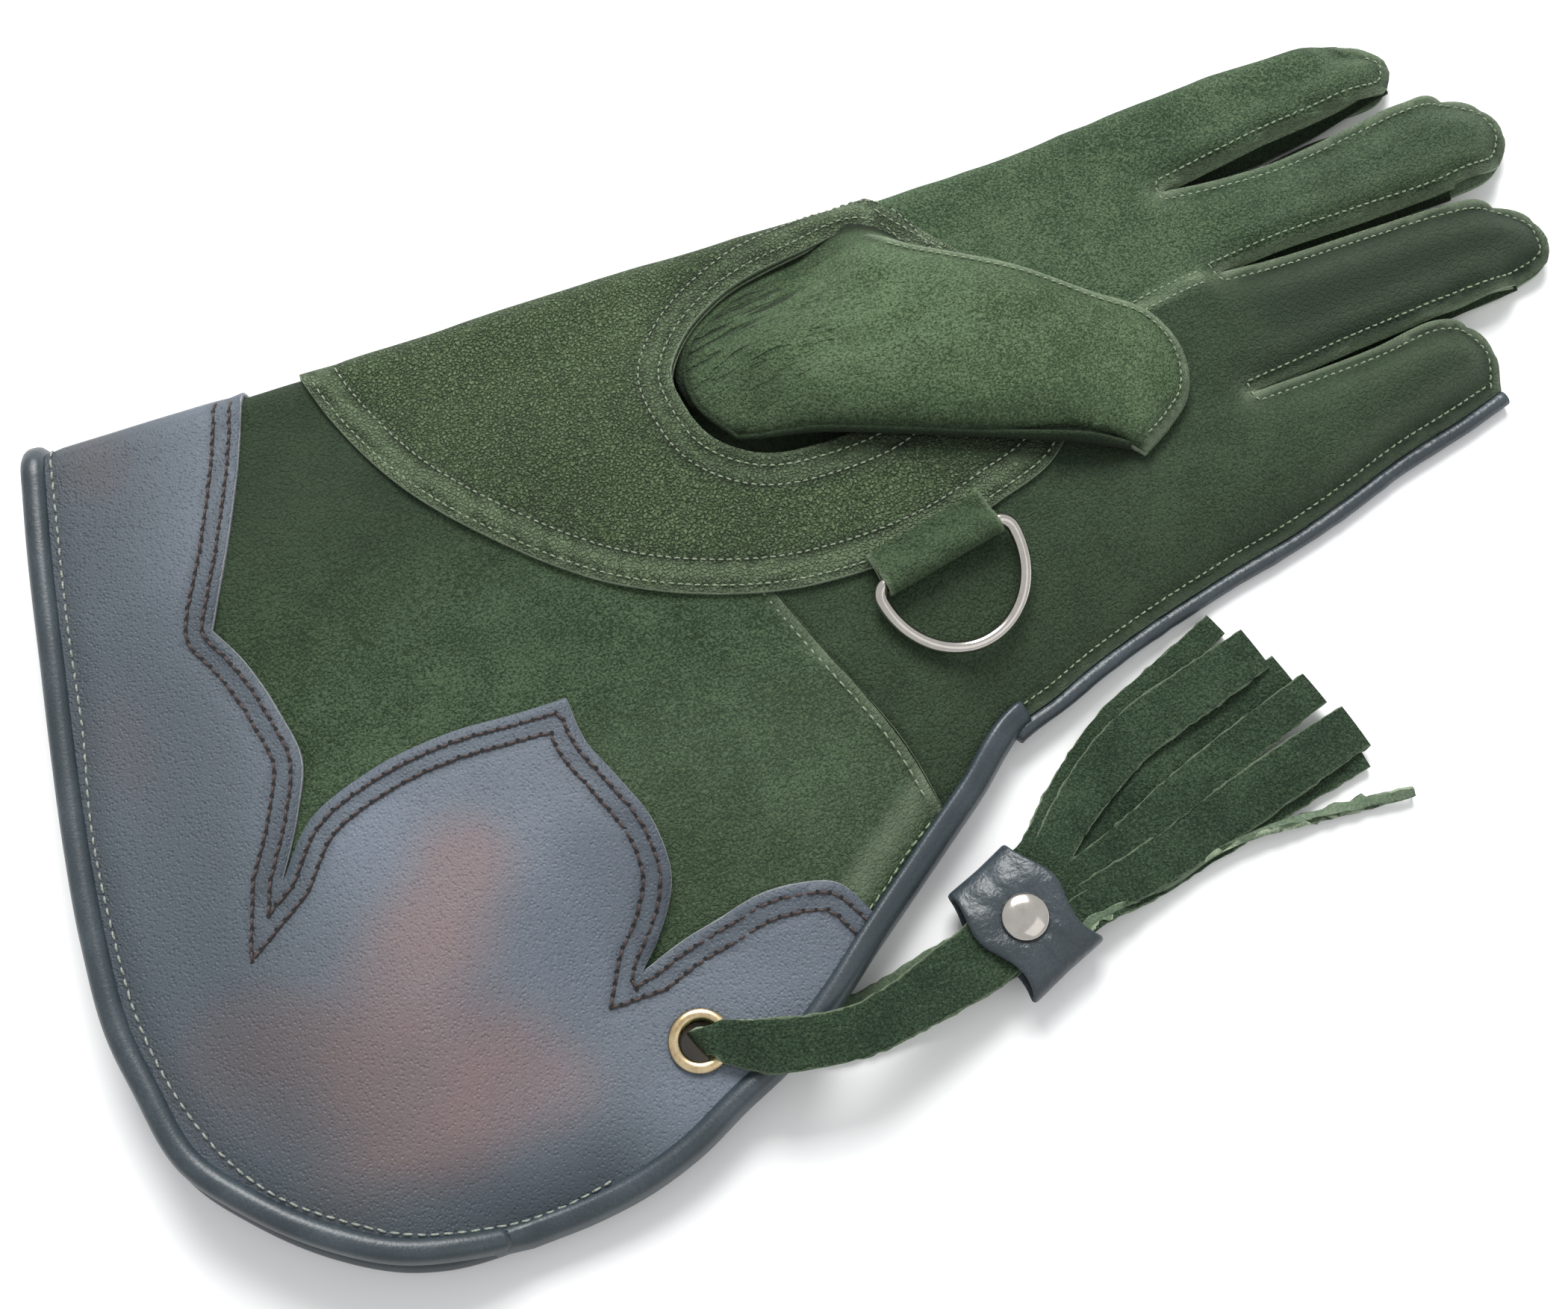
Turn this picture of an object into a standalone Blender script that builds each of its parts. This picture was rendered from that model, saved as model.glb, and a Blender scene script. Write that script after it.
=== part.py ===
# A falconry glove lying palm up: folded leather hand, thumb and gauntlet, a scalloped cuff
# facing with a bound rim, a D-ring in a leather loop, and a riveted tassel on a lace.
# Metres, +Z up. +X runs along the folded index side towards the fingertips, +Y towards that
# fold, and the glove's back lies on z = 0. Tables place points by shares: along is a share of
# the hand's length beyond the wrist or, where negative, of the gauntlet's; across is a share
# of the glove's width there, measured from the straight line of the fold.

from math import atan2, cos, pi, radians, sin

import bmesh
import bpy
import numpy as np
from mathutils import Matrix, Vector
from mathutils.geometry import delaunay_2d_cdt

# Overall layout
gloveName = "Falconry glove"
handLength = 0.216          # wrist to the longest fingertip
gauntletLength = 0.191      # wrist to the rim
palmWidth = 0.130
mouthWidth = 0.222
widthBlend = 0.6            # share of the gauntlet over which the width grows
wristX = -0.0108
foldReach = 0.1073          # the fold's straight line, as a Y place

# Leather and clearances
leatherWall = 0.0016
facingWall = 0.0014         # cuff facing and palm patch
fourchetteWall = 0.0012
bindingWall = 0.0012
layerGap = 0.0006
bindingGap = 0.0008         # inside a binding, over and under the leather
seamGap = 0.0006            # between palm and back where they are sewn
hingeGap = 0.0003

# Shape of the soft body
foldRadius = 0.0065
tipRadius = 0.0024          # the fold's radius at the end of the index finger
tipFall = 0.015             # length over which a fingertip comes down to its seam
gapDip = 0.0042             # how far the palm is drawn down beside a finger gap
gapSpread = 0.0055
gridAlong = 0.0154
gridAcross = 0.0148         # over the palm and gauntlet
fingerGrid = 0.0072         # across the fingers
edgeStep = 0.0120
tipStep = 0.0075

# Rim, seams and trims
rimOverlap = 0.0045
rimBulge = 0.0018
pipingRadius = 0.0021
levelEnd = 0.085            # the back comes down to the floor at this X place
levelRamp = 0.055
levelFlat = 0.012           # the cuff's corner is flat this far round the lace and eyelet
laceReach = 0.040           # and falls away over this length
pinchReach = 0.052
laceRise = 0.0068           # height of the cuff's corner, which rides over the lace

# D-ring and its loop
wireRadius = 0.0016
ringWidth = 0.0400
ringDepth = 0.0270
ringCorner = 0.0034
loopLength = 0.0315
loopWall = 0.0014
loopTail = 0.0070           # from the bar's axis to the loop's sewn edge
ringTravel = radians(140)

# Eyelet, lace, band, rivet and fringe
eyeletBore = 0.0042
eyeletFlange = 0.0076
eyeletMetal = 0.0008
laceWall = 0.0016
lacePinch = 0.0068
bandWidth = 0.0320
bandLength = 0.0215
bandWall = 0.0015
rivetRadius = 0.0057
rivetDome = 0.0022
postRadius = 0.0020
footRadius = 0.0046
footWall = 0.0010
headWidth = 0.0260
headLength = 0.0170
headWall = 0.0033
stripWall = 0.0015
tasselTurn = radians(22)    # the tassel's axis from +X

# The fold's own line: along, across
foldRows = ((-1.05, -0.012), (-0.9, -0.008), (-0.55, 0.0), (-0.15, 0.006), (0.23, 0.022),
            (0.35, 0.016), (0.54, -0.010), (0.72, -0.021), (0.83, -0.012), (1.0, -0.006))
# The index finger's fold ends at this share of the hand
foldEnd = 0.842

# Height of the palm's crown above the back: along, height as a share of twice the fold's radius
crownRows = ((-1.05, 1.00), (-0.9, 1.10), (-0.6, 1.38), (-0.2, 1.46), (0.1, 1.54), (0.38, 1.42),
             (0.55, 1.10), (0.75, 1.0), (1.0, 0.97))
# How far from the side seam the palm comes to its full height: along, share of the palm's width
swellRows = ((-1.0, 0.50), (-0.5, 0.46), (0.0, 0.38), (0.35, 0.30), (0.5, 0.17), (1.0, 0.11))

# The rim's edge on the palm side, from the fold to the sewn corner: along, across
rimRows = ((-0.898, -0.010), (-0.920, 0.095), (-0.943, 0.227), (-0.960, 0.320), (-0.978, 0.435),
           (-0.989, 0.542), (-0.989, 0.649), (-0.978, 0.700), (-0.950, 0.795), (-0.894, 0.856),
           (-0.818, 0.915), (-0.745, 0.953), (-0.665, 0.972), (-0.599, 0.980))
backRimShift = 0.0016       # the back's rim stands this far outside the palm's

# The sewn side, from the rim's corner to the little finger: along, across
sideRows = ((-0.599, 0.980), (-0.515, 1.001), (-0.448, 1.040), (-0.378, 1.094), (-0.306, 1.158),
            (-0.249, 1.222), (-0.151, 1.312), (-0.095, 1.334), (-0.029, 1.322), (0.039, 1.252),
            (0.085, 1.198), (0.159, 1.105), (0.214, 1.077), (0.258, 1.049), (0.349, 1.002),
            (0.454, 0.960), (0.557, 0.926), (0.628, 0.894), (0.694, 0.860), (0.803, 0.818),
            (0.850, 0.796))
cornerJoin = 0.0080          # from the rim's corner to the side binding's start
cornerGap = 0.0028           # from there to the rim binding's leaning end
bindingEnd = 0.175          # the wide side binding is cut here, as a share of the hand

# Fingertips and crotches from the fold's end to the side seam: along, across, corner
tipRows = ((0.842, -0.006, 1), (0.878, 0.022, 0), (0.898, 0.070, 0), (0.886, 0.114, 0),
           (0.806, 0.139, 0), (0.700, 0.158, 0), (0.560, 0.188, 1), (0.640, 0.205, 0),
           (0.703, 0.209, 0), (0.800, 0.192, 0), (0.880, 0.176, 0), (0.940, 0.181, 0),
           (0.980, 0.225, 0), (0.993, 0.290, 0), (0.972, 0.350, 0), (0.900, 0.375, 0),
           (0.780, 0.379, 0), (0.661, 0.380, 0), (0.585, 0.390, 1), (0.661, 0.400, 0),
           (0.780, 0.403, 0), (0.870, 0.408, 0), (0.940, 0.432, 0), (0.978, 0.490, 0),
           (0.975, 0.570, 0), (0.925, 0.602, 0), (0.836, 0.612, 0), (0.720, 0.624, 0),
           (0.562, 0.645, 1), (0.720, 0.640, 0), (0.800, 0.628, 0), (0.845, 0.650, 0),
           (0.862, 0.720, 0), (0.850, 0.796, 1))
# Gap centres from the crotch to between the tips: along, across
gapRows = (((0.560, 0.188), (0.700, 0.184), (0.860, 0.145), (0.900, 0.135)),
           ((0.585, 0.390), (0.720, 0.391), (0.870, 0.393), (0.960, 0.393)),
           ((0.562, 0.645), (0.720, 0.632), (0.830, 0.621), (0.900, 0.618)))
# Each fingertip's end: along and across of its two sides
tipEnds = (((0.842, -0.006), (0.878, 0.022), (0.898, 0.070), (0.886, 0.114)),
           ((0.940, 0.181), (0.980, 0.225), (0.993, 0.290), (0.972, 0.350)),
           ((0.940, 0.432), (0.978, 0.490), (0.975, 0.570), (0.925, 0.602)),
           ((0.845, 0.650), (0.862, 0.720), (0.850, 0.796)))
# The gaps' sides that the fourchettes follow: first row and last row in tipRows
fourchetteSpans = (("fourchette_index_middle", 3, 10), ("fourchette_middle_ring", 15, 22),
                   ("fourchette_ring_little", 25, 30))

# The seam between hand and gauntlet, from the fold to the side seam: along, across
wristRows = ((-0.130, 0.006), (-0.120, 0.30), (-0.085, 0.58), (-0.030, 0.85), (0.030, 1.10),
             (0.048, 1.243))

# The cuff facing's scalloped edge, from the fold to the side seam: along, across, corner
facingRows = ((-0.612, 0.0, 1), (-0.651, 0.102, 0), (-0.688, 0.181, 0), (-0.735, 0.262, 1),
              (-0.712, 0.300, 0), (-0.685, 0.377, 0), (-0.676, 0.430, 0), (-0.702, 0.488, 0),
              (-0.745, 0.553, 1), (-0.690, 0.498, 0), (-0.609, 0.471, 0), (-0.493, 0.476, 0),
              (-0.402, 0.520, 0), (-0.346, 0.556, 1), (-0.341, 0.618, 0), (-0.320, 0.690, 0),
              (-0.294, 0.795, 0), (-0.296, 0.862, 0), (-0.330, 0.884, 0), (-0.367, 0.884, 1),
              (-0.309, 0.929, 0), (-0.257, 0.984, 0), (-0.201, 1.049, 0), (-0.151, 1.124, 0),
              (-0.112, 1.190, 0), (-0.070, 1.328, 1))

# The palm patch: its wrist edge from the fold, then the edge that the thumb covers
patchRows = ((-0.540, 0.0, 1), (-0.514, 0.075, 0), (-0.451, 0.198, 0), (-0.363, 0.322, 0),
             (-0.244, 0.495, 0), (-0.124, 0.657, 0), (-0.040, 0.738, 0), (0.040, 0.758, 0),
             (0.159, 0.745, 0), (0.222, 0.717, 0), (0.302, 0.666, 0), (0.335, 0.610, 0),
             (0.350, 0.48, 0), (0.322, 0.28, 0), (0.262, 0.13, 0), (0.215, 0.02, 1))
patchTurn = 2 / 3            # how far the patch wraps the fold, as a share of a quarter turn

# The thumb's hole, and the thumb from its root round the tip: along, across, corner
holeRows = ((0.208, 0.105), (0.113, 0.099), (0.007, 0.140), (-0.056, 0.205), (-0.081, 0.254),
            (-0.081, 0.320), (-0.066, 0.397), (-0.018, 0.472), (0.067, 0.499), (0.150, 0.480),
            (0.205, 0.410), (0.228, 0.300), (0.225, 0.180))
thumbRows = ((0.200, 0.125, 0), (0.104, 0.128, 0), (0.010, 0.160, 0), (-0.045, 0.212, 0),
             (-0.063, 0.262, 0), (-0.063, 0.330, 0), (-0.030, 0.425, 1), (0.072, 0.485, 0),
             (0.230, 0.590, 0), (0.390, 0.690, 0), (0.404, 0.714, 1), (0.452, 0.667, 0),
             (0.477, 0.633, 0), (0.491, 0.585, 0), (0.494, 0.523, 0), (0.476, 0.446, 0),
             (0.422, 0.376, 0), (0.350, 0.290, 0), (0.287, 0.223, 0), (0.238, 0.172, 0))
# The way from the hand into the thumb, inside the hole and under the thumb: along, across
passageRows = ((0.180, 0.150), (0.104, 0.152), (0.020, 0.180), (-0.030, 0.225), (-0.045, 0.268),
               (-0.044, 0.330), (-0.015, 0.408), (0.070, 0.452), (0.145, 0.440), (0.190, 0.385),
               (0.210, 0.300), (0.205, 0.210))
thumbWall = 0.0014
thumbEdge = 0.0034          # thickness along the thumb's seam
thumbLoft = 0.0078          # how much thicker the thumb is at its middle
thumbRound = 0.0150
thumbInset = 0.0026
rootLift = 0.0006           # the thumb's edge in the hole, over the palm's outer face
rootRise = 0.022            # length over which the thumb rises from that edge

# Soft folds and dents: along, across, reach along, reach across (both shares of the palm's
# width), depth as a share of the fold's radius
dentRows = ((-0.50, 0.55, 0.30, 0.16, 0.16), (-0.16, 0.90, 0.26, 0.10, 0.20),
            (0.12, 0.80, 0.20, 0.12, 0.14), (0.46, 0.62, 0.16, 0.20, 0.20),
            (-0.80, 0.36, 0.24, 0.20, 0.20), (-0.66, 0.70, 0.30, 0.14, -0.10))

# Places on the glove: along, across
eyeletPlace = (-0.330, 1.034)
laceCrossing = (-0.215, 1.270)
ringPlace = (0.136, 0.779)
ringSlant = radians(11)
# Places beside the glove, in shares of the hand's length from the wrist and of the palm's
# width from the fold's line
rivetPlace = (0.084, 1.447)

# The lace's legs from the band's mouth to the eyelet: share of the way, sideways bow as a
# share of it, rise from the band's height to the cuff's, width as a share of the band's
upperLegRows = ((0.00, 0.00, 0.00, 0.52), (0.15, -0.05, 0.45, 0.48), (0.32, -0.10, 1.05, 0.42),
                (0.48, -0.13, 1.58, 0.39), (0.64, -0.12, 1.72, 0.39), (0.78, -0.09, 1.68, 0.40),
                (0.87, -0.05, 1.22, 0.35), (0.93, -0.02, 1.00, 0.30))
lowerLegRows = ((0.92, -0.020, 1.00, 0.28), (0.75, -0.06, 1.00, 0.38), (0.55, -0.09, 1.00, 0.42),
                (0.35, -0.07, 1.00, 0.46), (0.16, -0.03, 0.60, 0.50), (0.00, 0.00, 0.00, 0.52))
laceEnd = 0.33              # how far the lace goes past the rivet, as a share of the band
# Fringe strips: side of root, middle and tip and the reach, as shares of the band's width;
# width as a share of it; layer
stripRows = ((0.30, 0.66, 0.67, 2.74, 0.22, 0), (0.18, 0.46, 0.33, 2.82, 0.40, 1),
             (0.08, 0.16, 0.05, 2.87, 0.32, 0), (-0.04, -0.10, -0.20, 2.92, 0.31, 1),
             (-0.20, -0.44, -0.62, 2.95, 0.40, 1), (-0.26, -0.52, -0.78, 2.85, 0.32, 0),
             (-0.34, -0.64, -1.28, 2.92, 0.10, 0))
stripLevels = (0.0011, 0.0032)


def smooth(t):
    t = np.clip(t, 0.0, 1.0)
    return t * t * (3.0 - 2.0 * t)


def softRows(x, rows):
    """A smooth line through rows of (place, value), read at x."""
    places = np.array([row[0] for row in rows])
    values = np.array([row[1] for row in rows])
    slopes = np.gradient(values, places)
    i = np.clip(np.searchsorted(places, x) - 1, 0, len(places) - 2)
    span = places[i + 1] - places[i]
    t = np.clip((x - places[i]) / span, 0.0, 1.0)
    rise = values[i + 1] - values[i]
    return (values[i] + rise * t * t * (3 - 2 * t) + slopes[i] * span * t * (1 - t) ** 2
            - slopes[i + 1] * span * t * t * (1 - t))


def crossWidth(along):
    return palmWidth + (mouthWidth - palmWidth) * smooth(-along / widthBlend)


def planX(along):
    along = np.asarray(along, float)
    return wristX + along * np.where(along > 0, handLength, gauntletLength)


def shareAlong(x):
    reach = np.asarray(x, float) - wristX
    return reach / np.where(reach > 0, handLength, gauntletLength)


def plan(rows):
    """Plan places in metres of rows that begin with along and across."""
    table = np.array([row[:2] for row in rows], float)
    return np.stack([planX(table[:, 0]), foldReach - table[:, 1] * crossWidth(table[:, 0])], 1)


def smoothCurve(points, step, closed=False, corners=None):
    """Points every step or so along a smooth curve through these, sharp at its corners."""
    points = np.asarray(points, float)
    count = len(points)
    corners = corners or [0] * count
    spans = count if closed else count - 1
    lengths = np.array([np.linalg.norm(points[(i + 1) % count] - points[i]) for i in range(spans)])
    found = []
    for i in range(spans):
        here, there = points[i], points[(i + 1) % count]
        length = lengths[i]
        chord = (there - here) / length
        leave, arrive = chord, chord
        if not corners[i] and (closed or i > 0):
            before = (here - points[i - 1]) / lengths[i - 1]
            leave = (before * length + chord * lengths[i - 1]) / (length + lengths[i - 1])
        if not corners[(i + 1) % count] and (closed or i < spans - 1):
            after = (points[(i + 2) % count] - there) / lengths[(i + 1) % spans]
            ahead = lengths[(i + 1) % spans]
            arrive = (chord * ahead + after * length) / (length + ahead)
        for t in np.arange(max(1, round(length / step))) / max(1, round(length / step)):
            found.append(here * (1 + 2 * t) * (1 - t) ** 2 + there * t * t * (3 - 2 * t)
                         + leave * length * t * (1 - t) ** 2 - arrive * length * t * t * (1 - t))
    if not closed:
        found.append(points[-1])
    return np.array(found)


def curveOf(rows, step, closed=False):
    corners = [row[2] if len(row) > 2 else 0 for row in rows]
    return smoothCurve(plan(rows), step, closed, corners)


def distanceTo(points, line):
    """Each point's distance to an open line of plan points."""
    best = np.full(len(points), 1e9)
    for start, end in zip(line[:-1], line[1:]):
        along = end - start
        t = np.clip((points - start) @ along / max(along @ along, 1e-12), 0, 1)
        best = np.minimum(best, np.linalg.norm(points - start - t[:, None] * along, axis=1))
    return best


def insideLoop(points, loop):
    """Whether each plan point is inside a closed loop."""
    inside = np.zeros(len(points), bool)
    x, y = points[:, 0], points[:, 1]
    for (ax, ay), (bx, by) in zip(loop, np.roll(loop, -1, axis=0)):
        if ay != by:
            crosses = ((ay > y) != (by > y)) & (x < (bx - ax) * (y - ay) / (by - ay) + ax)
            inside ^= crosses
    return inside


def offsetCurve(points, distance, closed=False):
    """The curve moved to the left of its run by a distance."""
    if closed:
        ahead, behind = np.roll(points, -1, axis=0), np.roll(points, 1, axis=0)
    else:
        ahead = np.concatenate([points[1:], points[-1:]])
        behind = np.concatenate([points[:1], points[:-1]])
    run = ahead - behind
    run /= np.linalg.norm(run, axis=1)[:, None]
    return points + distance * np.stack([-run[:, 1], run[:, 0]], 1)


sideLine = plan(sideRows)
rimLine = plan(rimRows)
tipLines = [plan(rows) for rows in tipEnds]
gapLines = [plan(rows) for rows in gapRows]
eyeletPoint = plan([eyeletPlace])[0]
crossingPoint = plan([laceCrossing])[0]
foldArc = foldRadius * pi / 2
seamStack = 2 * leatherWall + seamGap
facingLayer = layerGap + facingWall
rimLayer = facingLayer + bindingGap + bindingWall


def foldLine(x):
    along = shareAlong(x)
    return foldReach - softRows(along, foldRows) * crossWidth(along)


def foldSize(x):
    """The fold's radius, which shrinks towards the index fingertip."""
    return tipRadius + (foldRadius - tipRadius) * smooth((planX(foldEnd) + 0.004 - x) / tipFall)


def backLevel(x, y):
    """Height of the back's outer face: on the floor under the hand, and raised where the cuff
    stands on its binding and over the lace."""
    lace = distanceTo(np.stack([x, y], 1), np.array([eyeletPoint, crossingPoint]))
    rim = rimLayer * smooth((levelEnd - x) / levelRamp)
    return rim + (laceRise - rimLayer) * smooth((laceReach + levelFlat - lace) / laceReach)


def palmTop(x, y):
    """Height of the palm's outer face over its plan."""
    points = np.stack([x, y], 1)
    along = shareAlong(x)
    start = foldLine(x) - foldSize(x)
    level = backLevel(x, y)
    foldHeight = 2 * foldRadius
    crown = foldHeight * (1 + (softRows(along, crownRows) - 1) * smooth((start - y) / 0.045))
    swell = np.clip(distanceTo(points, sideLine) / (softRows(along, swellRows) * palmWidth), 0, 1)
    fall = np.ones(len(x))
    for line in tipLines:
        fall = np.minimum(fall, np.clip(distanceTo(points, line) / tipFall, 0, 1))
    lift = (1 - (1 - swell) ** 2) * (1 - (1 - fall) ** 2.2)
    for line in gapLines:
        crown = crown - gapDip * np.exp(-((distanceTo(points, line) / gapSpread) ** 2)) * fall
    for row in dentRows:
        place = plan([row])[0]
        away = ((points - place) / (np.array(row[2:4]) * palmWidth)) ** 2
        crown = crown - row[4] * foldRadius * np.exp(-away.sum(axis=1))
    fromEyelet = np.linalg.norm(points - eyeletPoint, axis=1)
    pinch = smooth((pinchReach + levelFlat - fromEyelet) / pinchReach)
    height = level + seamStack + (crown - seamStack) * lift * (1 - pinch)
    nearFold = smooth((start - y) / 0.008)
    return (1 - nearFold) * (backLevel(x, start) + 2 * foldSize(x)) + nearFold * height


def skinPlace(x, turn):
    """The outer face at x and turn: within one quarter turn of the fold's crest is the fold's
    arc, less is the palm, and more is the back."""
    radius = foldSize(x)
    start = foldLine(x) - radius
    angle = -np.clip(turn, -1, 1) * pi / 2
    y = start + radius * np.cos(angle) - np.clip(np.abs(turn) - 1, 0, None) * foldArc
    arc = backLevel(x, start) + radius * (1 + np.sin(angle))
    z = np.where(turn < -1, palmTop(x, y), np.where(turn > 1, backLevel(x, y), arc))
    return np.stack([x, y, z], 1)


def skin(pattern, lift):
    """Places at a height over the glove's outer face, of pattern points (x, turn)."""
    x, turn = pattern[:, 0], pattern[:, 1]
    small = 1e-4
    place = skinPlace(x, turn)
    across = skinPlace(x, turn + small) - skinPlace(x, turn - small)
    along = skinPlace(x + small, turn) - skinPlace(x - small, turn)
    normal = np.cross(along, across)
    normal /= np.linalg.norm(normal, axis=1)[:, None]
    return place + normal * lift


def toPattern(points, side):
    """Pattern points of plan points, on the palm (-1) or the back (1)."""
    start = foldLine(points[:, 0]) - foldSize(points[:, 0])
    beyond = (start - points[:, 1]) / foldArc
    arc = np.arccos(np.clip((points[:, 1] - start) / foldSize(points[:, 0]), 0, 1)) * 2 / pi
    return np.stack([points[:, 0], side * np.where(beyond > 0, 1 + beyond, arc)], 1)


def foldLines(x):
    """The turns of the grid lines that all folded layers share at x: thirds of the fold's
    quarter turns, then equal steps, closer on the fingers."""
    step = (fingerGrid if x > planX(0.44) else gridAcross) / foldArc
    beyond = 1 + step * np.arange(1, 60)
    return np.concatenate([-beyond[::-1], np.arange(-3, 4) / 3, beyond])


def foldSpread(turn):
    """Turns as metres for laying out triangles, three times as wide over the fold, so that
    every layer's triangles follow the fold's shared grid lines."""
    return foldArc * (turn + 2 * np.clip(turn, -1, 1))


def foldGather(spread):
    return spread / foldArc - 2 * np.clip(spread / (3 * foldArc), -1, 1)


def plainSpread(across):
    return across


def flatMesh(outer, holes, alongStep, acrossLines, apart, spread, gather):
    """Triangles over a flat outline with holes, on a grid, as points and faces."""
    loops = [outer] + list(holes)
    points, edges = [], []
    for loop in loops:
        first = len(points)
        points += [tuple(p) for p in loop]
        edges += [(first + i, first + (i + 1) % len(loop)) for i in range(len(loop))]
    low, high = outer.min(axis=0), outer.max(axis=0)
    xs = np.arange(np.ceil(low[0] / alongStep), high[0] / alongStep) * alongStep
    grid = np.array([(x, t) for x in xs for t in acrossLines(x) if low[1] < t < high[1]])
    keep = insideLoop(grid, outer)
    for hole in holes:
        keep &= ~insideLoop(grid, hole)
    wideGrid = np.column_stack([grid[:, 0], spread(grid[:, 1])])
    for loop in loops:
        ring = np.concatenate([loop, loop[:1]])
        keep &= distanceTo(wideGrid, np.column_stack([ring[:, 0], spread(ring[:, 1])])) > apart
    points += [tuple(p) for p in grid[keep]]
    flat = [Vector((p[0], float(spread(p[1])))) for p in points]
    found = delaunay_2d_cdt(flat, edges, [], 2, 1e-7)
    verts = np.array([(v.x, float(gather(v.y))) for v in found[0]])
    centres = np.array([verts[list(face)].mean(axis=0) for face in found[2]])
    solid = insideLoop(centres, outer)
    for hole in holes:
        solid &= ~insideLoop(centres, hole)
    return verts, [tuple(face) for face, kept in zip(found[2], solid) if kept]


def clearScene():
    for obj in list(bpy.data.objects):
        bpy.data.objects.remove(obj, do_unlink=True)


def newCollection(name, hidden=False):
    collection = bpy.data.collections.new(name)
    bpy.context.scene.collection.children.link(collection)
    collection.hide_render = hidden
    return collection


def newMaterial(name, colour, roughness, metallic=0.0):
    material = bpy.data.materials.new(name)
    material.use_nodes = True
    shader = material.node_tree.nodes["Principled BSDF"]
    shader.inputs["Base Color"].default_value = (*colour, 1.0)
    shader.inputs["Roughness"].default_value = roughness
    shader.inputs["Metallic"].default_value = metallic
    material.diffuse_color = (*colour, 1.0)
    return material


def newObject(name, mesh, material, collection):
    obj = bpy.data.objects.new(name, mesh)
    if material:
        mesh.materials.append(material)
    collection.objects.link(obj)
    return obj


def newMesh(name, verts, faces, material, collection):
    mesh = bpy.data.meshes.new(name)
    mesh.from_pydata([tuple(map(float, v)) for v in verts], [], faces)
    mesh.validate()
    mesh.update()
    return newObject(name, mesh, material, collection)


def closedMesh(name, verts, faces, material, collection):
    obj = newMesh(name, verts, faces, material, collection)
    work = bmesh.new()
    work.from_mesh(obj.data)
    bmesh.ops.recalc_face_normals(work, faces=work.faces)
    work.to_mesh(obj.data)
    work.free()
    return obj


def thicken(obj, wall, outward):
    modifier = obj.modifiers.new("Leather", "SOLIDIFY")
    modifier.thickness = wall
    modifier.offset = 1.0 if outward else -1.0
    modifier.use_even_offset = False


def combine(obj, other, operation):
    modifier = obj.modifiers.new(operation.title(), "BOOLEAN")
    modifier.operation = operation
    modifier.solver = "EXACT"
    modifier.object = other


def hideCutter(obj):
    obj.hide_render = True
    obj.display_type = "WIRE"
    return obj


def leatherSheet(name, outer, holes, lift, wall, outward, material, collection):
    """A cut piece of leather laid over the glove: an outline in pattern points, thickened."""
    verts, faces = flatMesh(outer, holes, gridAlong, foldLines, 0.0022, foldSpread, foldGather)
    places = skin(verts, lift)
    obj = newMesh(name, places, faces, material, collection)
    thicken(obj, wall, outward)
    return obj


def loft(name, rings, material, collection, closed=False):
    """Rings of equal counts joined into one solid, capped at its ends unless it closes."""
    count, size = len(rings), len(rings[0])
    verts = [tuple(p) for ring in rings for p in ring]
    faces = []
    for i in range(count if closed else count - 1):
        a, b = i * size, ((i + 1) % count) * size
        for j in range(size):
            k = (j + 1) % size
            faces.append((a + j, a + k, b + k, b + j))
    if not closed:
        faces.append(tuple(range(size - 1, -1, -1)))
        faces.append(tuple((count - 1) * size + j for j in range(size)))
    return closedMesh(name, verts, faces, material, collection)


def ribbonRings(path, widths, wall, sideways):
    """Rectangular rings of a strap along a path, its width kept to one side's direction."""
    path = np.asarray(path, float)
    run = np.gradient(path, axis=0)
    run /= np.linalg.norm(run, axis=1)[:, None]
    rings = []
    for place, along, width, side in zip(path, run, widths, sideways):
        side = side - along * (side @ along)
        side /= np.linalg.norm(side)
        up = np.cross(along, side)
        rings.append([place + side * width / 2 * a + up * wall / 2 * b
                      for a, b in ((-1, -1), (1, -1), (1, 1), (-1, 1))])
    return rings


def refineAtFold(pattern, closed=False):
    """The line with points added wherever it crosses one of the fold's shared grid lines."""
    ends = np.roll(pattern, -1, axis=0) if closed else pattern[1:]
    found = []
    for here, there in zip(pattern, ends):
        found.append(here)
        low, high = sorted((here[1], there[1]))
        for turn in sorted((k / 3 for k in range(-3, 4)), reverse=bool(there[1] < here[1])):
            if low + 1e-3 < turn < high - 1e-3:
                found.append(here + (there - here) * (turn - here[1]) / (there[1] - here[1]))
    if not closed:
        found.append(pattern[-1])
    return np.array(found)


def fromFold(points):
    """The line with its first point set exactly on the fold's crest."""
    points = points.copy()
    points[0, 1] = foldLine(points[:1, 0])[0]
    return points


def cutAt(line, length):
    """The line as its first stretch of a length, and the rest."""
    run = np.concatenate([[0.0], np.cumsum(np.linalg.norm(np.diff(line, axis=0), axis=1))])
    cut = [[np.interp(length, run, line[:, 0]), np.interp(length, run, line[:, 1])]]
    first, rest = line[run < length - 1e-3], line[run > length + 1e-3]
    return np.concatenate([first, cut]), np.concatenate([cut, rest])


def between(line, low, high):
    """The stretch of a line that runs along +X between two X places."""
    inner = line[(line[:, 0] > low + 1e-4) & (line[:, 0] < high - 1e-4)]
    ends = [(x, np.interp(x, line[:, 0], line[:, 1])) for x in (low, high)]
    return np.concatenate([ends[:1], inner, ends[1:]])


def patternLoop(palmEdge, backEdge):
    """A folded piece's outline: its palm edge from fold to fold, then its back edge reversed."""
    palm = refineAtFold(toPattern(palmEdge, -1))
    back = refineAtFold(toPattern(backEdge, 1))[::-1]
    return np.concatenate([palm, back[1:-1]])


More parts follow.
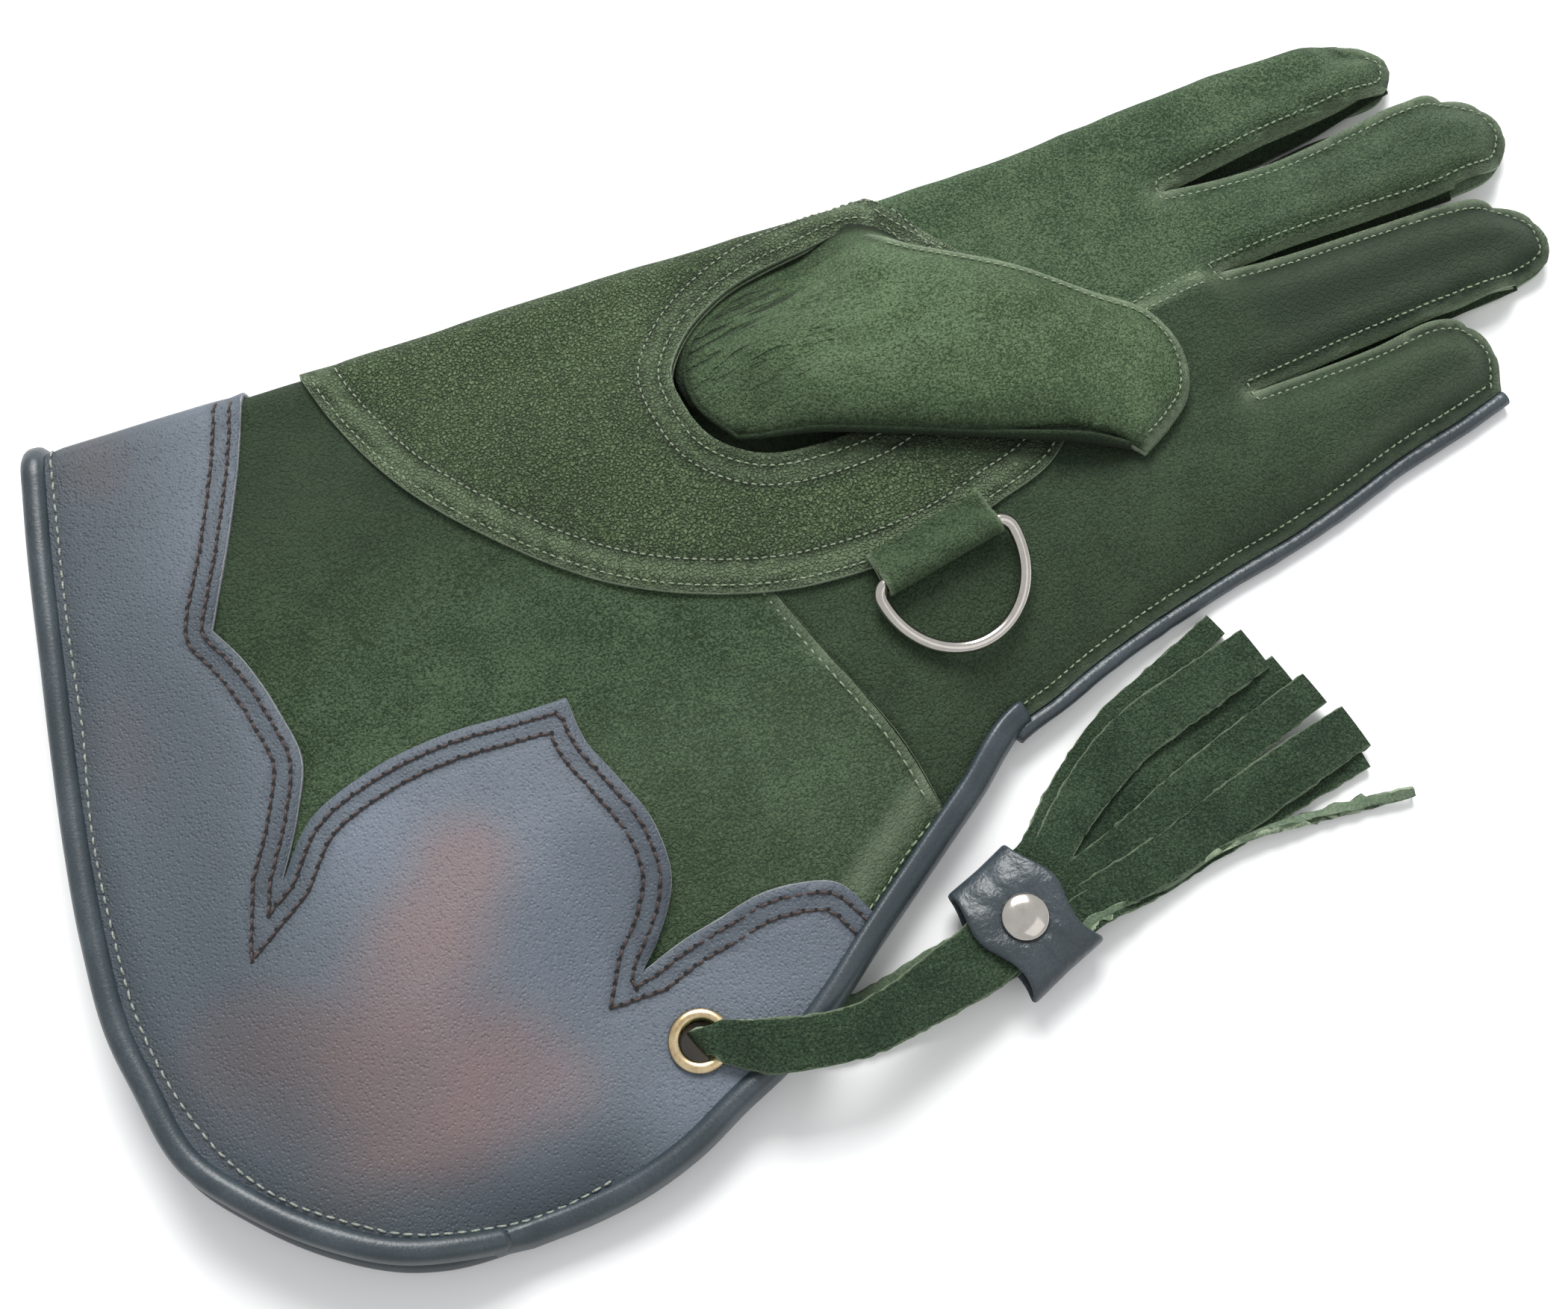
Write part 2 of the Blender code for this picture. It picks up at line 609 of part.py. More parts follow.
def circleRound(centre, radius, count, side):
    angles = np.arange(count) * 2 * pi / count
    return toPattern(centre + radius * np.stack([np.cos(angles), np.sin(angles)], 1), side)


sideCurve = smoothCurve(sideLine, edgeStep)
rimCurve = fromFold(smoothCurve(rimLine, edgeStep))
wristCurve = fromFold(curveOf(wristRows, edgeStep))
wristCurve[-1, 1] = np.interp(wristCurve[-1, 0], sideCurve[:, 0], sideCurve[:, 1])
tipCurve = fromFold(curveOf(tipRows, tipStep))
rimToCorner = np.linalg.norm(rimCurve - rimCurve[-1], axis=1)
backRimCurve = rimCurve.copy()
backRimCurve[:, 0] -= backRimShift * smooth(rimToCorner / 0.05) * smooth(
    (foldReach - rimCurve[:, 1]) / 0.08)
backRimCurve[:, 1] -= backRimShift * smooth(rimToCorner / 0.02) * smooth(
    (foldReach - rimCurve[:, 1] - 0.12) / 0.06)


def handLeather(material, collection):
    seam = wristCurve + np.array([layerGap * 1.4, 0.0])
    side = between(sideCurve, seam[-1, 0], sideCurve[-1, 0])
    tips = tipCurve.copy()
    tips[-1] = side[-1]
    edge = np.concatenate([tips[:-1], side[::-1][:-1], seam[::-1]])
    outer = patternLoop(edge, edge)
    hole = toPattern(curveOf(holeRows, 0.008, True), -1)
    return leatherSheet("hand_leather", outer, [hole], 0.0, leatherWall, False, material,
                        collection)


def gauntletLeather(material, collection):
    side = between(sideCurve, sideCurve[0, 0], wristCurve[-1, 0])
    palm = np.concatenate([wristCurve[:-1], side[::-1][:-1], rimCurve[::-1]])
    back = np.concatenate([wristCurve[:-1], side[::-1][:-1], backRimCurve[::-1]])
    holes = [circleRound(eyeletPoint, eyeletBore + eyeletMetal + layerGap, 12, side)
             for side in (-1, 1)]
    return leatherSheet("gauntlet_leather", patternLoop(palm, back), holes, 0.0, leatherWall,
                        False, material, collection)


def cuffFacing(material, collection):
    edge = fromFold(curveOf(facingRows, edgeStep))
    edge[-1, 1] = np.interp(edge[-1, 0], sideCurve[:, 0], sideCurve[:, 1])
    side = between(sideCurve, sideCurve[0, 0], edge[-1, 0])
    palm = np.concatenate([edge[:-1], side[::-1][:-1], rimCurve[::-1]])
    straight = fromFold(smoothCurve([edge[0], edge[-1]], edgeStep))
    back = np.concatenate([straight[:-1], side[::-1][:-1], backRimCurve[::-1]])
    holes = [circleRound(eyeletPoint, eyeletBore + eyeletMetal + layerGap, 12, side)
             for side in (-1, 1)]
    return leatherSheet("cuff_facing", patternLoop(palm, back), holes, layerGap, facingWall,
                        True, material, collection)


def palmPatch(material, collection):
    edge = curveOf(patchRows, edgeStep)
    for end in (0, -1):
        edge[end, 1] = foldLine(edge[end:, 0])[0] if end else foldLine(edge[:1, 0])[0]
    palm = refineAtFold(toPattern(edge, -1))
    ends = [np.array([[palm[i, 0], turn] for turn in (0.0, 1 / 3, patchTurn)]) for i in (-1, 0)]
    back = np.linspace(ends[0][-1], ends[1][-1], 12)
    outer = np.concatenate([palm, ends[0][1:-1], back, ends[1][1:-1][::-1]])
    hole = toPattern(curveOf(holeRows, 0.008, True), -1)
    return leatherSheet("palm_patch", outer, [hole], layerGap, facingWall, True, material,
                        collection)


def fourchettes(material, collection):
    """Walls between palm and back round each finger gap, set just inside the fingers' edges."""
    made = []
    inset, rows = 0.0009, plan(tipRows)
    for name, first, last in fourchetteSpans:
        corners = [row[2] for row in tipRows[first:last + 1]]
        line = smoothCurve(rows[first:last + 1], 0.0075, False, corners)
        outer = offsetCurve(line, -inset)
        inner = offsetCurve(line, -inset - fourchetteWall)
        rings = []
        for a, b in zip(outer, inner):
            x, y = np.array([a[0], b[0]]), np.array([a[1], b[1]])
            low = backLevel(x, y).max() + leatherWall + layerGap
            high = palmTop(x, y).min() - leatherWall * 1.25 - layerGap
            if high - low > 0.0024:
                rings.append([(*a, low), (*b, low), (*b, high), (*a, high)])
        made.append(loft(name, rings, material, collection))
    return made


def boundaryOf(faces):
    """The directed edges that only one face has, as a mapping from each start to its end."""
    edges = {(f[i], f[(i + 1) % 3]) for f in faces for i in range(3)}
    return [(a, b) for a, b in edges if (b, a) not in edges]


def pillow(name, outline, step, top, bottom, material, collection):
    """A solid between two height functions over a closed plan outline."""
    rows = np.arange(-40, 40) * step
    flat, faces = flatMesh(outline, [], step, lambda x: rows, 0.3 * step, plainSpread, plainSpread)
    count = len(flat)
    x, y = flat[:, 0], flat[:, 1]
    verts = np.concatenate([np.column_stack([flat, top(x, y)]),
                            np.column_stack([flat, bottom(x, y)])])
    solid = list(faces) + [tuple(count + i for i in reversed(face)) for face in faces]
    solid += [(a, a + count, b + count, b) for a, b in boundaryOf(faces)]
    return closedMesh(name, verts, solid, material, collection)


thumbCurve = curveOf(thumbRows, 0.0075, True)
rootLine = plan(thumbRows[1:7])


def thumbClear(x, y):
    """The lowest that the thumb's underside comes: over palm or patch, or in the hole."""
    overPatch = facingLayer * smooth((planX(0.42) - x) / 0.02)
    risen = smooth(distanceTo(np.stack([x, y], 1), rootLine) / rootRise)
    return palmTop(x, y) + risen * (overPatch + 2 * layerGap) + (1 - risen) * (
        rootLift - 0.0020)


def thumbTop(x, y):
    points = np.stack([x, y], 1)
    edge = distanceTo(points, np.concatenate([thumbCurve, thumbCurve[:1]]))
    loftShare = 1 - (1 - np.clip(edge / thumbRound, 0, 1)) ** 2
    risen = smooth(distanceTo(points, rootLine) / rootRise)
    height = 0.0020 + risen * (thumbEdge - 0.0020) + thumbLoft * loftShare * (0.35 + 0.65 * risen)
    return thumbClear(x, y) + height


def thumb(material, collection, cutters):
    body = pillow("thumb", thumbCurve, 0.0092, thumbTop, thumbClear, material, collection)
    # the curve runs anticlockwise seen from above, so its left side is the thumb's inside
    inner = offsetCurve(thumbCurve, thumbInset, True)

    def innerTop(x, y):
        return thumbTop(x, y) - thumbWall

    def innerBottom(x, y):
        return np.minimum(thumbClear(x, y) + thumbWall, innerTop(x, y) - 0.0004)

    hollow = hideCutter(pillow("thumb_hollow", inner, 0.0092, innerTop, innerBottom, None, cutters))
    passage = hideCutter(pillow("thumb_passage", curveOf(passageRows, 0.008, True), 0.0085,
                                lambda x, y: thumbTop(x, y) - thumbWall - 0.0007,
                                lambda x, y: palmTop(x, y) - 0.012, None, cutters))
    combine(body, hollow, "DIFFERENCE")
    combine(body, passage, "DIFFERENCE")
    return body


def rimSection():
    """The binding's section: outward from the leather's edge, and height over its outer face."""
    over, under = facingLayer + bindingGap, -leatherWall - bindingGap
    top, low = over + bindingWall, under - bindingWall
    return ((-rimOverlap, top), (-0.0004, top), (rimBulge * 0.75, top - 0.0012),
            (rimBulge, (top + low) / 2), (rimBulge * 0.75, low + 0.0012), (-0.0004, low),
            (-rimOverlap, low), (-rimOverlap, under), (bindingGap, under), (bindingGap, over),
            (-rimOverlap, over))


def cuffBinding(material, collection):
    """The strip rolled round the open rim, from the sewn corner over the fold and back."""
    palm = toPattern(cutAt(rimCurve[::-1], cornerJoin + cornerGap)[1][::-1], -1)
    back = toPattern(cutAt(backRimCurve[::-1], cornerJoin + cornerGap)[1][::-1], 1)
    path = refineAtFold(np.concatenate([palm[::-1], back[1:]]))
    scale = np.array([1.0, foldArc])
    run = np.gradient(path * scale, axis=0)
    run /= np.linalg.norm(run, axis=1)[:, None]
    # the path runs from the palm's corner to the fold and on, so outside is on its left
    outward = np.stack([-run[:, 1], run[:, 0]], 1)
    rings = []
    for place, out in zip(path, outward):
        rings.append([skin((place + out * u / scale)[None], lift)[0] for u, lift in rimSection()])
    return loft("cuff_binding", rings, material, collection)


def sideBinding(material, collection):
    """The strip folded over the sewn side, from the rim's corner to its cut end by the palm."""
    start = cutAt(rimCurve[::-1], cornerJoin)[0][::-1]
    side = between(sideCurve, sideCurve[0, 0], float(planX(bindingEnd)))
    line = np.concatenate([start[:-1], side])
    run = np.gradient(line, axis=0)
    run /= np.linalg.norm(run, axis=1)[:, None]
    outward = np.stack([run[:, 1], -run[:, 0]], 1)
    slot = 0.0013
    rings = []
    for place, out in zip(line, outward):
        def at(u, height, upper):
            x, y = place + out * u
            surface = (palmTop if upper else backLevel)(np.array([x]), np.array([y]))[0]
            return (x, y, surface + height)

        reach = facingLayer + bindingGap
        over, under = reach + bindingWall, -reach - bindingWall
        edgeTop, edgeLow = at(0, over, True)[2], at(0, under, False)[2]
        middle = (edgeTop + edgeLow) / 2
        bulge = place + out * (slot + bindingWall)
        turn = place + out * (slot + bindingWall * 0.7)
        end = place + out * slot
        rings.append([at(-rimOverlap, over, True), at(-0.0002, over, True),
                      (*turn, edgeTop - 0.0013), (*bulge, middle), (*turn, edgeLow + 0.0013),
                      at(-0.0002, under, False), at(-rimOverlap, under, False),
                      at(-rimOverlap, -reach, False), (*end, at(0, -reach, False)[2]),
                      (*end, at(0, reach, True)[2]), at(-rimOverlap, reach, True)])
    return loft("side_binding", rings, material, collection)


def handPiping(material, collection):
    """The round piping outside the hand's sewn edge, from the wide binding to the fingertip."""
    line = between(sideCurve, float(planX(bindingEnd)) + 0.0022, sideCurve[-1, 0])
    line = offsetCurve(line, -(pipingRadius + layerGap))
    x, y = line[:, 0], line[:, 1]
    centre = np.column_stack([line, np.maximum(backLevel(x, y), 0.0002) + pipingRadius])
    sides = 8
    run = np.gradient(centre, axis=0)
    run /= np.linalg.norm(run, axis=1)[:, None]
    rings = []
    for place, along in zip(centre, run):
        side = np.cross(along, (0.0, 0.0, 1.0))
        side /= np.linalg.norm(side)
        up = np.cross(side, along)
        rings.append([place + pipingRadius * (side * cos(a) + up * sin(a))
                      for a in np.arange(sides) * -2 * pi / sides])
    return loft("hand_piping", rings, material, collection)


ringCentre = plan([ringPlace])[0]
barAlong = np.array([cos(ringSlant), sin(ringSlant)])
barAcross = np.array([-sin(ringSlant), cos(ringSlant)])
loopBore = wireRadius + hingeGap
loopRadius = loopBore + loopWall


def palmAt(point):
    return float(palmTop(np.array([point[0]]), np.array([point[1]]))[0])


# The bar's axis clears the palm under the loop, and the patch's edge under the loop's tail
barHeight = max(
    max(palmAt(ringCentre + barAlong * u + barAcross * v) + layerGap + loopRadius
        for v in (-0.002, 0.0, 0.002)) for u in np.linspace(-loopLength / 2, loopLength / 2, 7))
barHeight = max(barHeight, max(
    palmAt(ringCentre + barAlong * u + barAcross * loopTail) + facingLayer + layerGap + loopWall
    for u in np.linspace(-loopLength / 2, loopLength / 2, 7)))


def ringOutline():
    """The ring's centre line from its bar: along the bar, and out from it."""
    half, depth = ringWidth / 2 - wireRadius, ringDepth - 2 * wireRadius
    points = [(half - ringCorner + ringCorner * sin(a), -ringCorner + ringCorner * cos(a))
              for a in np.linspace(0, pi / 2, 4)]
    bow = depth - ringCorner
    points += [(half * cos(a), -ringCorner - bow * sin(a)) for a in np.linspace(0, pi, 17)[1:]]
    points += [(-half + ringCorner - ringCorner * cos(a), -ringCorner + ringCorner * sin(a))
               for a in np.linspace(0, pi / 2, 4)[1:]]
    return points


def ringLean():
    """How far the ring leans down from its bar until its bow is its clearance off the palm."""
    leans = []
    for u, v in ringOutline():
        if -v > 0.006:
            point = ringCentre + barAlong * u + barAcross * v
            leans.append((barHeight - palmAt(point) - wireRadius - layerGap) / -v)
    return atan2(min(leans), 1.0)


def turnedTo(slant, lean=0.0):
    return Matrix.Rotation(slant, 4, "Z") @ Matrix.Rotation(lean, 4, "X")


def dRing(material, collection):
    curve = bpy.data.curves.new("d_ring", "CURVE")
    curve.dimensions = "3D"
    curve.bevel_depth = wireRadius
    curve.bevel_resolution = 2
    spline = curve.splines.new("POLY")
    outline = ringOutline()
    spline.points.add(len(outline) - 1)
    for point, (u, v) in zip(spline.points, outline):
        point.co = (u, v, 0.0, 1.0)
    spline.use_cyclic_u = True
    obj = newObject("d_ring", curve, material, collection)
    obj.matrix_world = Matrix.Translation((*ringCentre, barHeight)) @ turnedTo(ringSlant, ringLean())
    return obj


def ringLoop(material, collection):
    """A leather strip doubled round the bar, its two ends together at the sewn edge."""
    curve = bpy.data.curves.new("ring_loop", "CURVE")
    curve.dimensions = "2D"
    curve.fill_mode = "BOTH"
    curve.extrude = loopLength / 2
    tail = loopWall
    start = atan2(tail, sum((loopRadius ** 2 - tail ** 2, 0.0)) ** 0.5)
    outer = [(loopTail, tail)] + [(loopRadius * cos(a), loopRadius * sin(a))
                                  for a in np.linspace(start + 0.35, 2 * pi - start - 0.35, 15)]
    outer += [(loopTail, -tail)]
    inner = [(loopBore * cos(a), loopBore * sin(a)) for a in np.arange(14) * 2 * pi / 14]
    for points in (outer, inner):
        spline = curve.splines.new("POLY")
        spline.points.add(len(points) - 1)
        for point, (u, v) in zip(spline.points, points):
            point.co = (u, v, 0.0, 1.0)
        spline.use_cyclic_u = True
    obj = newObject("ring_loop", curve, material, collection)
    across = Vector((*barAcross, 0.0))
    up = Vector((0.0, 0.0, 1.0))
    frame = Matrix((across, up, across.cross(up))).transposed().to_4x4()
    obj.matrix_world = Matrix.Translation((*ringCentre, barHeight)) @ frame
    return obj


def turned(name, profile, steps, material, collection):
    """A round piece turned about Z from its profile, whose outer side runs down."""
    mesh = bpy.data.meshes.new(name)
    closed = profile[0][0] > 1e-6
    edges = [(i, i + 1) for i in range(len(profile) - 1)]
    if closed:
        edges.append((len(profile) - 1, 0))
    mesh.from_pydata([(r, 0.0, z) for r, z in profile], edges, [])
    obj = newObject(name, mesh, material, collection)
    screw = obj.modifiers.new("Turn", "SCREW")
    screw.steps = screw.render_steps = steps
    screw.use_merge_vertices = True
    screw.merge_threshold = 1e-6
    screw.use_smooth_shade = True
    return obj


eyeletLow = laceRise - facingLayer - layerGap - eyeletMetal
eyeletHigh = palmAt(eyeletPoint) + facingLayer + layerGap + eyeletMetal


def eyelet(material, collection):
    outer = eyeletBore + eyeletMetal
    low, high = eyeletLow, eyeletHigh
    profile = [(eyeletBore, high - 0.0002), (eyeletBore + 0.0006, high), (eyeletFlange - 0.0008, high),
               (eyeletFlange, high - eyeletMetal), (outer, high - eyeletMetal),
               (outer, low + eyeletMetal), (eyeletFlange, low + eyeletMetal),
               (eyeletFlange - 0.0008, low), (eyeletBore, low)]
    obj = turned("eyelet", profile, 18, material, collection)
    obj.location = (*eyeletPoint, 0.0)
    return obj


rivetPoint = plan([rivetPlace])[0]
tasselAlong = np.array([cos(tasselTurn), sin(tasselTurn)])
tasselAcross = np.array([-sin(tasselTurn), cos(tasselTurn)])
postGap = layerGap
bandLow = footWall + layerGap
lowerLegHeight = bandLow + bandWall + layerGap + laceWall / 2
headHeight = lowerLegHeight + laceWall / 2 + layerGap + headWall / 2
upperLegHeight = headHeight + headWall / 2 + layerGap + laceWall / 2
bandHigh = upperLegHeight + laceWall / 2 + layerGap + bandWall


def beside(u, v):
    """A plan place by the tassel: along its axis and across it, from the rivet."""
    return rivetPoint + tasselAlong * u + tasselAcross * v


def laceStrap(material, collection, cutters):
    mouth = beside(-bandLength / 2 - 0.002, 0.0)
    way = eyeletPoint - mouth
    reach = float(np.linalg.norm(way))
    aside = np.array([-way[1], way[0]]) / reach
    cuffUpper = eyeletHigh + 2 * layerGap + laceWall / 2
    floorLower = layerGap + laceWall / 2
    bend = 0.0026
    places, widths = [], []

    def add(point, height, width):
        places.append((point[0], point[1], height))
        widths.append(width)

    add(beside(laceEnd * bandLength, 0.0), upperLegHeight, 0.52 * bandWidth)
    add(beside(-0.1 * bandLength, 0.0), upperLegHeight, 0.52 * bandWidth)
    for share, bow, rise, width in upperLegRows:
        point = mouth + way * share - aside * bow * reach
        add(point, upperLegHeight + rise * (cuffUpper - upperLegHeight), width * bandWidth)
    inward = (mouth + way * 0.9 + aside * 0.03 * reach) - eyeletPoint
    inward /= np.linalg.norm(inward)
    for angle in np.linspace(0, pi / 2, 4):
        add(eyeletPoint + inward * bend * (1 - sin(angle)), cuffUpper - bend * (1 - cos(angle)),
            lacePinch)
    for angle in np.linspace(pi / 2, 0, 4):
        add(eyeletPoint + inward * bend * (1 - sin(angle)),
            floorLower + 0.0004 + bend * (1 - cos(angle)), lacePinch)
    for share, bow, rise, width in lowerLegRows:
        point = mouth + way * share - aside * bow * reach
        add(point, lowerLegHeight + rise * (floorLower - lowerLegHeight), width * bandWidth)
    add(beside(-0.1 * bandLength, 0.0), lowerLegHeight, 0.52 * bandWidth)
    add(beside(laceEnd * bandLength, 0.0), lowerLegHeight, 0.52 * bandWidth)
    table = smoothCurve(np.column_stack([places, widths]), 0.0060)
    table[:, 2] = np.maximum(table[:, 2], floorLower)
    sideways = np.tile(np.array([*tasselAcross, 0.0]), (len(table), 1))
    rings = ribbonRings(table[:, :3], table[:, 3], laceWall, sideways)
    obj = loft("lace_strap", rings, material, collection)
    combine(obj, postCutter("lace_post_hole", cutters), "DIFFERENCE")
    return obj


def postCutter(name, cutters):
    sides = 16
    rings = [[(*(rivetPoint + (postRadius + postGap) * np.array([cos(a), sin(a)])), z)
              for a in np.arange(sides) * 2 * pi / sides] for z in (-0.01, 0.04)]
    return hideCutter(loft(name, rings, None, cutters))


def tasselBand(material, collection, cutters):
    height = bandHigh - bandLow
    middle = (bandHigh + bandLow) / 2

    def section(width, tall):
        corner = min(width, tall) / 2
        flat = width / 2 - corner
        right = [(flat + corner * cos(a), corner * sin(a)) for a in np.linspace(-pi / 2, pi / 2, 7)]
        return right + [(-u, -v) for u, v in right]

    outer = section(bandWidth, height)
    inner = section(bandWidth - 2 * bandWall, height - 2 * bandWall)
    rings = []
    for end in (-1, 1):
        centre = beside(end * bandLength / 2, 0.0)
        rings.append([[(*(centre + tasselAcross * u), middle + v) for u, v in ring]
                      for ring in (outer, inner)])
    count = len(outer)
    verts = [p for end in rings for ring in end for p in ring]
    faces = []
    for i in range(count):
        j = (i + 1) % count
        faces += [(i, j, 2 * count + j, 2 * count + i),
                  (count + j, count + i, 3 * count + i, 3 * count + j),
                  (j, i, count + i, count + j),
                  (2 * count + i, 2 * count + j, 3 * count + j, 3 * count + i)]
    obj = closedMesh("tassel_band", verts, faces, material, collection)
    combine(obj, postCutter("band_post_hole", cutters), "DIFFERENCE")
    return obj


def tasselRivet(material, collection):
    capLow = bandHigh + layerGap
    dome = [(rivetRadius * sin(a), capLow + 0.0006 + (rivetDome - 0.0006) * cos(a))
            for a in np.linspace(0, pi / 2, 6)]
    dome[0] = (0.0, capLow + rivetDome)
    profile = dome + [(rivetRadius, capLow), (postRadius, capLow), (postRadius, footWall),
                      (footRadius, footWall), (footRadius - 0.0004, 0.0), (0.0, 0.0)]
    obj = turned("tassel_rivet", profile, 18, material, collection)
    obj.location = (*rivetPoint, 0.0)
    return obj


def boxRings(u0, u1, width, low, high):
    rings = []
    for u in (u0, u1):
        rings.append([(*beside(u, -width / 2), low), (*beside(u, width / 2), low),
                      (*beside(u, width / 2), high), (*beside(u, -width / 2), high)])
    return [ring[::-1] for ring in rings]


def tasselFringe(material, collection, cutters):
    """The fringe's head inside the band, with its cut strips fanning out to the floor."""
    low, high = headHeight - headWall / 2, headHeight + headWall / 2
    obj = loft("tassel_fringe", boxRings(-0.30 * headLength, bandLength / 2 + 0.0015, headWidth,
                                         low, high), material, collection)
    leave = bandLength / 2 - 0.003
    for i, (root, middle, tip, reach, width, layer) in enumerate(stripRows):
        height = stripLevels[layer] + 0.00013 * i
        wide = width * bandWidth
        rootWide = min(wide, 0.30 * bandWidth)
        top = headHeight - 0.0004 + 0.00011 * i
        ends = reach * bandWidth
        table = ((leave, root, top, rootWide), (leave + 0.006, root + 0.1 * (middle - root), top,
                                                rootWide),
                 (0.30 * ends, root + 0.55 * (middle - root), height + 0.0016, 0.86 * wide),
                 (0.56 * ends, middle, height, wide), (0.8 * ends, 0.5 * (middle + tip), height,
                                                       wide),
                 (ends, tip, height, wide * 0.96))
        path = [(*beside(u, v * bandWidth), z, w) for u, v, z, w in table]
        curve = smoothCurve(path, 0.013)
        sideways = np.tile(np.array([*tasselAcross, 0.0]), (len(curve), 1))
        rings = ribbonRings(curve[:, :3], curve[:, 3], stripWall, sideways)
        strip = hideCutter(loft(f"fringe_strip_{i + 1}", rings, None, cutters))
        combine(obj, strip, "UNION")
    combine(obj, postCutter("head_post_hole", cutters), "DIFFERENCE")
    return obj


def build():
    clearScene()
    parts = newCollection(gloveName)
    cutters = newCollection("Cutters", hidden=True)
    green = newMaterial("green_leather", (0.045, 0.085, 0.045), 0.85)
    lighterGreen = newMaterial("pebbled_green_leather", (0.085, 0.140, 0.065), 0.70)
    laceGreen = newMaterial("lace_leather", (0.040, 0.090, 0.050), 0.85)
    slate = newMaterial("slate_leather", (0.130, 0.150, 0.190), 0.42)
    navy = newMaterial("navy_leather", (0.045, 0.060, 0.085), 0.45)
    nickel = newMaterial("nickel", (0.80, 0.77, 0.72), 0.16, 1.0)
    brass = newMaterial("brass", (0.70, 0.56, 0.34), 0.28, 1.0)

    handLeather(green, parts)
    fourchettes(green, parts)
    gauntletLeather(green, parts)
    palmPatch(lighterGreen, parts)
    thumb(green, parts, cutters)
    cuffFacing(slate, parts)
    cuffBinding(navy, parts)
    sideBinding(navy, parts)
    handPiping(navy, parts)
    ringLoop(green, parts)
    dRing(nickel, parts)
    eyelet(brass, parts)
    laceStrap(laceGreen, parts, cutters)
    tasselBand(navy, parts, cutters)
    tasselRivet(nickel, parts)
    tasselFringe(laceGreen, parts, cutters)


build()
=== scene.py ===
from math import atan2, cos, pi, radians, sin

import bmesh
import bpy
import numpy as np
from mathutils import Matrix, Vector
from mathutils.geometry import delaunay_2d_cdt


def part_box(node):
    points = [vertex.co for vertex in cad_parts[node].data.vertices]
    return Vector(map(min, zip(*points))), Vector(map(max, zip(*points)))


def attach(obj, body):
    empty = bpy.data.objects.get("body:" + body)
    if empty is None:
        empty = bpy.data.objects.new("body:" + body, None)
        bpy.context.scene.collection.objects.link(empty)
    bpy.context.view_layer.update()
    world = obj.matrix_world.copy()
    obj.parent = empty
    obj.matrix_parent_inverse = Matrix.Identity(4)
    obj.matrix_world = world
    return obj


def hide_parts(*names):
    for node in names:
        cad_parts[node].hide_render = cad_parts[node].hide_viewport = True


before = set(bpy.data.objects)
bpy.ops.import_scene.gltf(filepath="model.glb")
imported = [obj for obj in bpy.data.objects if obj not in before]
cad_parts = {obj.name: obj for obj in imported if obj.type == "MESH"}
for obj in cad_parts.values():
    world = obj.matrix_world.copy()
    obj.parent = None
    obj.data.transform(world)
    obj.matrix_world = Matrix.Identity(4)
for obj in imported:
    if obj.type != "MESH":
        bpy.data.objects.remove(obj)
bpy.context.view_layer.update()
print("frame loaded")

# the glove's measures
sizes = {
    "handLength": 0.216, "gauntletLength": 0.191, "palmWidth": 0.130, "mouthWidth": 0.222,
    "widthBlend": 0.6, "wristX": -0.0108, "foldReach": 0.1073,
    "leather": 0.0016, "facing": 0.0014, "binding": 0.0012,
    "layerGap": 0.0003,      # closer than the solids' own gap, so that the layers look sewn
    "bindingGap": 0.0008, "seamGap": 0.0006,
    "foldRadius": 0.0065, "tipRadius": 0.0024, "tipFall": 0.015,
    "gapDip": 0.0042, "gapSpread": 0.0055,
    "levelEnd": 0.085, "levelRamp": 0.055, "levelFlat": 0.012,
    "laceReach": 0.040, "pinchReach": 0.052, "laceRise": 0.0068, "rimLayer": 0.0040,
    "foldEnd": 0.842, "backShift": 0.0016,
    "crownReach": 0.045, "foldBlend": 0.008, "foldEase": 0.004,
    "mesh": 0.0027, "edge": 0.0022, "fineEdge": 0.0018, "clearOfEdge": 0.4,
}
handLength, gauntletLength = sizes["handLength"], sizes["gauntletLength"]
palmWidth, mouthWidth = sizes["palmWidth"], sizes["mouthWidth"]
foldRadius = sizes["foldRadius"]
foldArc = foldRadius * pi / 2
seamStack = 2 * sizes["leather"] + sizes["seamGap"]
facingLayer = sizes["layerGap"] + sizes["facing"]
edgeStep, fineStep = sizes["edge"], sizes["fineEdge"]
small = 1e-4  # the step that slopes are taken over

foldRows = ((-1.05, -0.012), (-0.9, -0.008), (-0.55, 0.0), (-0.15, 0.006), (0.23, 0.022),
            (0.35, 0.016), (0.54, -0.010), (0.72, -0.021), (0.83, -0.012), (1.0, -0.006))
crownRows = ((-1.05, 1.00), (-0.9, 1.10), (-0.6, 1.38), (-0.2, 1.46), (0.1, 1.54), (0.38, 1.42),
             (0.55, 1.10), (0.75, 1.0), (1.0, 0.97))
swellRows = ((-1.0, 0.50), (-0.5, 0.46), (0.0, 0.38), (0.35, 0.30), (0.5, 0.17), (1.0, 0.11))
rimRows = ((-0.898, -0.010), (-0.920, 0.095), (-0.943, 0.227), (-0.960, 0.320), (-0.978, 0.435),
           (-0.989, 0.542), (-0.989, 0.649), (-0.978, 0.700), (-0.950, 0.795), (-0.894, 0.856),
           (-0.818, 0.915), (-0.745, 0.953), (-0.665, 0.972), (-0.599, 0.980))
